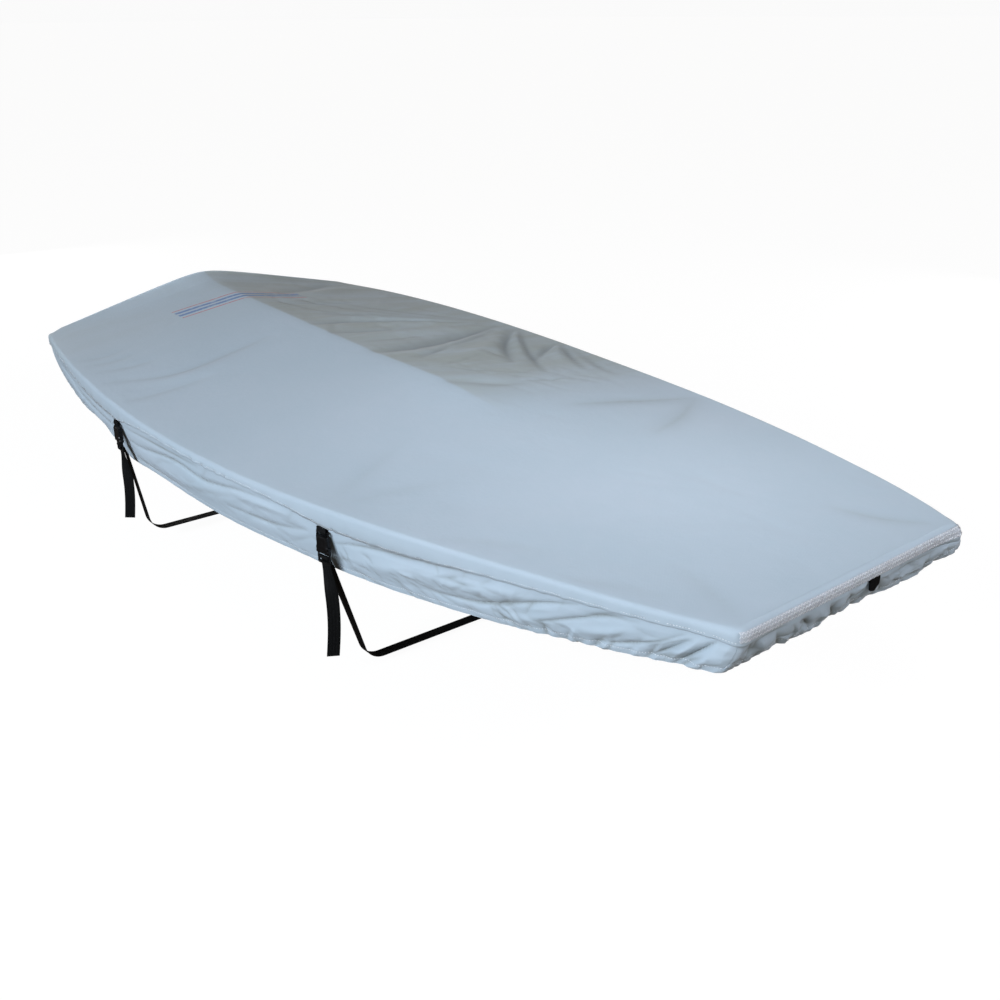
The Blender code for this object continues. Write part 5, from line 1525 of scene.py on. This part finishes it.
# A light: name, where it stands, size in metres, colour, and the setting with its watts.
Light = namedtuple("Light", "name place size colour power")
LIGHTS = (
    Light("key softbox", (0.87, -6.0, 2.53), 2.66, "ECF3FD", "key"),
    Light("overhead softbox", (0.85, 0.10, 0.90), 0.6, "F8FAFF", "overhead"),
    Light("bow softbox", (3.99, 1.67, 2.50), 1.3, "F2F4FF", "bow"),
    Light("starboard low softbox", (2.2, -3.4, -0.05), 1.2, "EEF5FF", "side"),
    Light("bow low softbox", (4.3, -0.3, 0.10), 1.2, "FFF3E6", "end"),
    Light("port low softbox", (0.2, 3.6, 0.35), 1.8, "F4F2F0", "fill"),
    Light("stern low softbox", (-4.2, 0.0, 0.35), 1.6, "F4F2F0", "fill"),
)


def build_stage():
    """Camera, lights, walls and floor."""
    scene, settings = bpy.context.scene, bpy.context.scene.cover_stage
    forward = Vector((
        math.cos(CAMERA_DIP) * math.cos(CAMERA_BEARING),
        math.cos(CAMERA_DIP) * math.sin(CAMERA_BEARING),
        -math.sin(CAMERA_DIP),
    ))
    right = forward.cross(Vector((0, 0, 1))).normalized()
    up = right.cross(forward)
    cos, sin = math.cos(CAMERA_ROLL), math.sin(CAMERA_ROLL)
    right, up = right * cos + up * sin, up * cos - right * sin
    turned = Matrix((right, up, -forward)).transposed().to_4x4()
    camera = bpy.data.objects.new("camera", bpy.data.cameras.new("camera"))
    camera.data.lens, camera.data.sensor_width, camera.data.clip_end = CAMERA_LENS, 36.0, 500.0
    camera.matrix_world = Matrix.Translation(CAMERA_PLACE) @ turned
    scene.collection.objects.link(camera)
    scene.camera = camera
    for light in LIGHTS:
        lamp = bpy.data.lights.new(light.name, "AREA")
        lamp.shape, lamp.size = "DISK", light.size
        lamp.color = linear(light.colour)[:3]
        lamp.energy = getattr(settings, light.power)
        holder = bpy.data.objects.new(light.name, lamp)
        holder.location = light.place
        holder.rotation_euler = (-Vector(light.place)).to_track_quat("-Z", "Y").to_euler()
        holder.visible_camera = False
        scene.collection.objects.link(holder)
    world = bpy.data.worlds.new("studio walls")
    world.use_nodes = True
    background = world.node_tree.nodes["Background"]
    background.inputs["Color"].default_value = linear(SKY_COLOUR)
    background.inputs["Strength"].default_value = settings.sky
    scene.world = world
    scene.view_settings.view_transform = "Standard"
    corners = [(-1, -1), (1, -1), (1, 1), (-1, 1)]
    points = [(x * FLOOR_HALF, y * FLOOR_HALF, FLOOR_LEVEL) for x, y in corners]
    build_backdrop("floor", points, [(0, 1, 2, 3)], FLOOR_COLOUR, settings.backdrop_glow)
    sides = WALL_SIDES
    turns = [2 * math.pi * i / sides for i in range(sides)]
    ring = [(WALL_RADIUS * math.cos(a), WALL_RADIUS * math.sin(a)) for a in turns]
    points = [(x, y, z) for z in (FLOOR_LEVEL - 1, WALL_RADIUS) for x, y in ring]
    walls = [((i + 1) % sides, i, i + sides, (i + 1) % sides + sides) for i in range(sides)]
    walls.append(tuple(range(sides, 2 * sides)))
    build_backdrop("studio wall", points, walls, WALL_COLOUR, settings.backdrop_glow)


def build_backdrop(name, points, faces, colour, glow):
    """A plain pale floor or wall. Its own glow keeps it white, and doesn't light the cover."""
    mesh = bpy.data.meshes.new(name)
    mesh.from_pydata(points, [], faces)
    made = bpy.data.objects.new(name, mesh)
    bpy.context.scene.collection.objects.link(made)
    made.visible_diffuse = made.visible_glossy = made.visible_shadow = False
    paint = bpy.data.materials.new("matt white paint, " + name)
    paint.use_nodes = True
    set_inputs(paint.node_tree, paint.node_tree.nodes["Principled BSDF"], {
        "Base Color": linear(colour),
        "Roughness": 0.9,
        "Specular IOR Level": 0.0,
        "Emission Color": (1.0, 1.0, 1.0, 1.0),
        "Emission Strength": glow,
    })
    mesh.materials.append(paint)


# ---------------------------------------------------------------- operators and the panel
class COVER_OT_stage(bpy.types.Operator):
    """Set up the camera, the soft studio light and the pale floor"""

    bl_idname = "cover.stage"
    bl_label = "Stage"

    def execute(self, context):
        build_stage()
        return {"FINISHED"}


class COVER_OT_top(bpy.types.Operator):
    """Make the top panel: its ridge, its folds and its turned-down edge"""

    bl_idname = "cover.top"
    bl_label = "Top panel"

    def execute(self, context):
        build_top_cloth()
        return {"FINISHED"}


class COVER_OT_bow_tape(bpy.types.Operator):
    """Make the puckered tape over the bow's edge"""

    bl_idname = "cover.bow_tape"
    bl_label = "Bow tape"

    def execute(self, context):
        build_bow_tape()
        return {"FINISHED"}


class COVER_OT_skirts(bpy.types.Operator):
    """Make the four lengths of skirt with their folds and gathered hems"""

    bl_idname = "cover.skirts"
    bl_label = "Skirts"

    def execute(self, context):
        for zone in ZONES:
            build_skirt(zone)
        return {"FINISHED"}


class COVER_OT_stitching(bpy.types.Operator):
    """Sew the seam, the hem and the tape"""

    bl_idname = "cover.stitching"
    bl_label = "Stitching"

    def execute(self, context):
        build_stitching()
        return {"FINISHED"}


class COVER_OT_webbing(bpy.types.Operator):
    """Make the webbing tabs, the belly straps and the bow tab"""

    bl_idname = "cover.webbing"
    bl_label = "Webbing"

    def execute(self, context):
        build_webbing()
        return {"FINISHED"}


class COVER_OT_buckles(bpy.types.Operator):
    """Give the side-release buckles their moulded finish"""

    bl_idname = "cover.buckles"
    bl_label = "Buckles"

    def execute(self, context):
        finish_buckles()
        return {"FINISHED"}


OPERATORS = (
    COVER_OT_stage,
    COVER_OT_top,
    COVER_OT_bow_tape,
    COVER_OT_skirts,
    COVER_OT_stitching,
    COVER_OT_webbing,
    COVER_OT_buckles,
)
SETTINGS = (("cover_sizes", CoverSizes), ("cover_colours", CoverColours), ("cover_stage", CoverStage))


class COVER_PT_cover(bpy.types.Panel):
    """Lists the cover's settings and the pieces that can be made"""

    bl_idname = "COVER_PT_cover"
    bl_label = "Dinghy cover"
    bl_space_type = "VIEW_3D"
    bl_region_type = "UI"
    bl_category = "Cover"

    def draw(self, context):
        for name, group in SETTINGS:
            box = self.layout.box()
            for setting in group.__annotations__:
                box.prop(getattr(context.scene, name), setting)
        for operator in OPERATORS:
            self.layout.operator(operator.bl_idname)


CLASSES = (*[group for _, group in SETTINGS], *OPERATORS, COVER_PT_cover)


def register():
    for part in CLASSES:
        bpy.utils.register_class(part)
    for name, group in SETTINGS:
        setattr(bpy.types.Scene, name, bpy.props.PointerProperty(type=group))


def unregister():
    for name, _ in SETTINGS:
        delattr(bpy.types.Scene, name)
    for part in reversed(CLASSES):
        bpy.utils.unregister_class(part)


def main():
    register()
    bpy.ops.cover.stage()
    bpy.ops.cover.top()
    bpy.ops.cover.bow_tape()
    bpy.ops.cover.skirts()
    bpy.ops.cover.stitching()
    bpy.ops.cover.webbing()
    bpy.ops.cover.buckles()


if __name__ == "__main__":
    main()
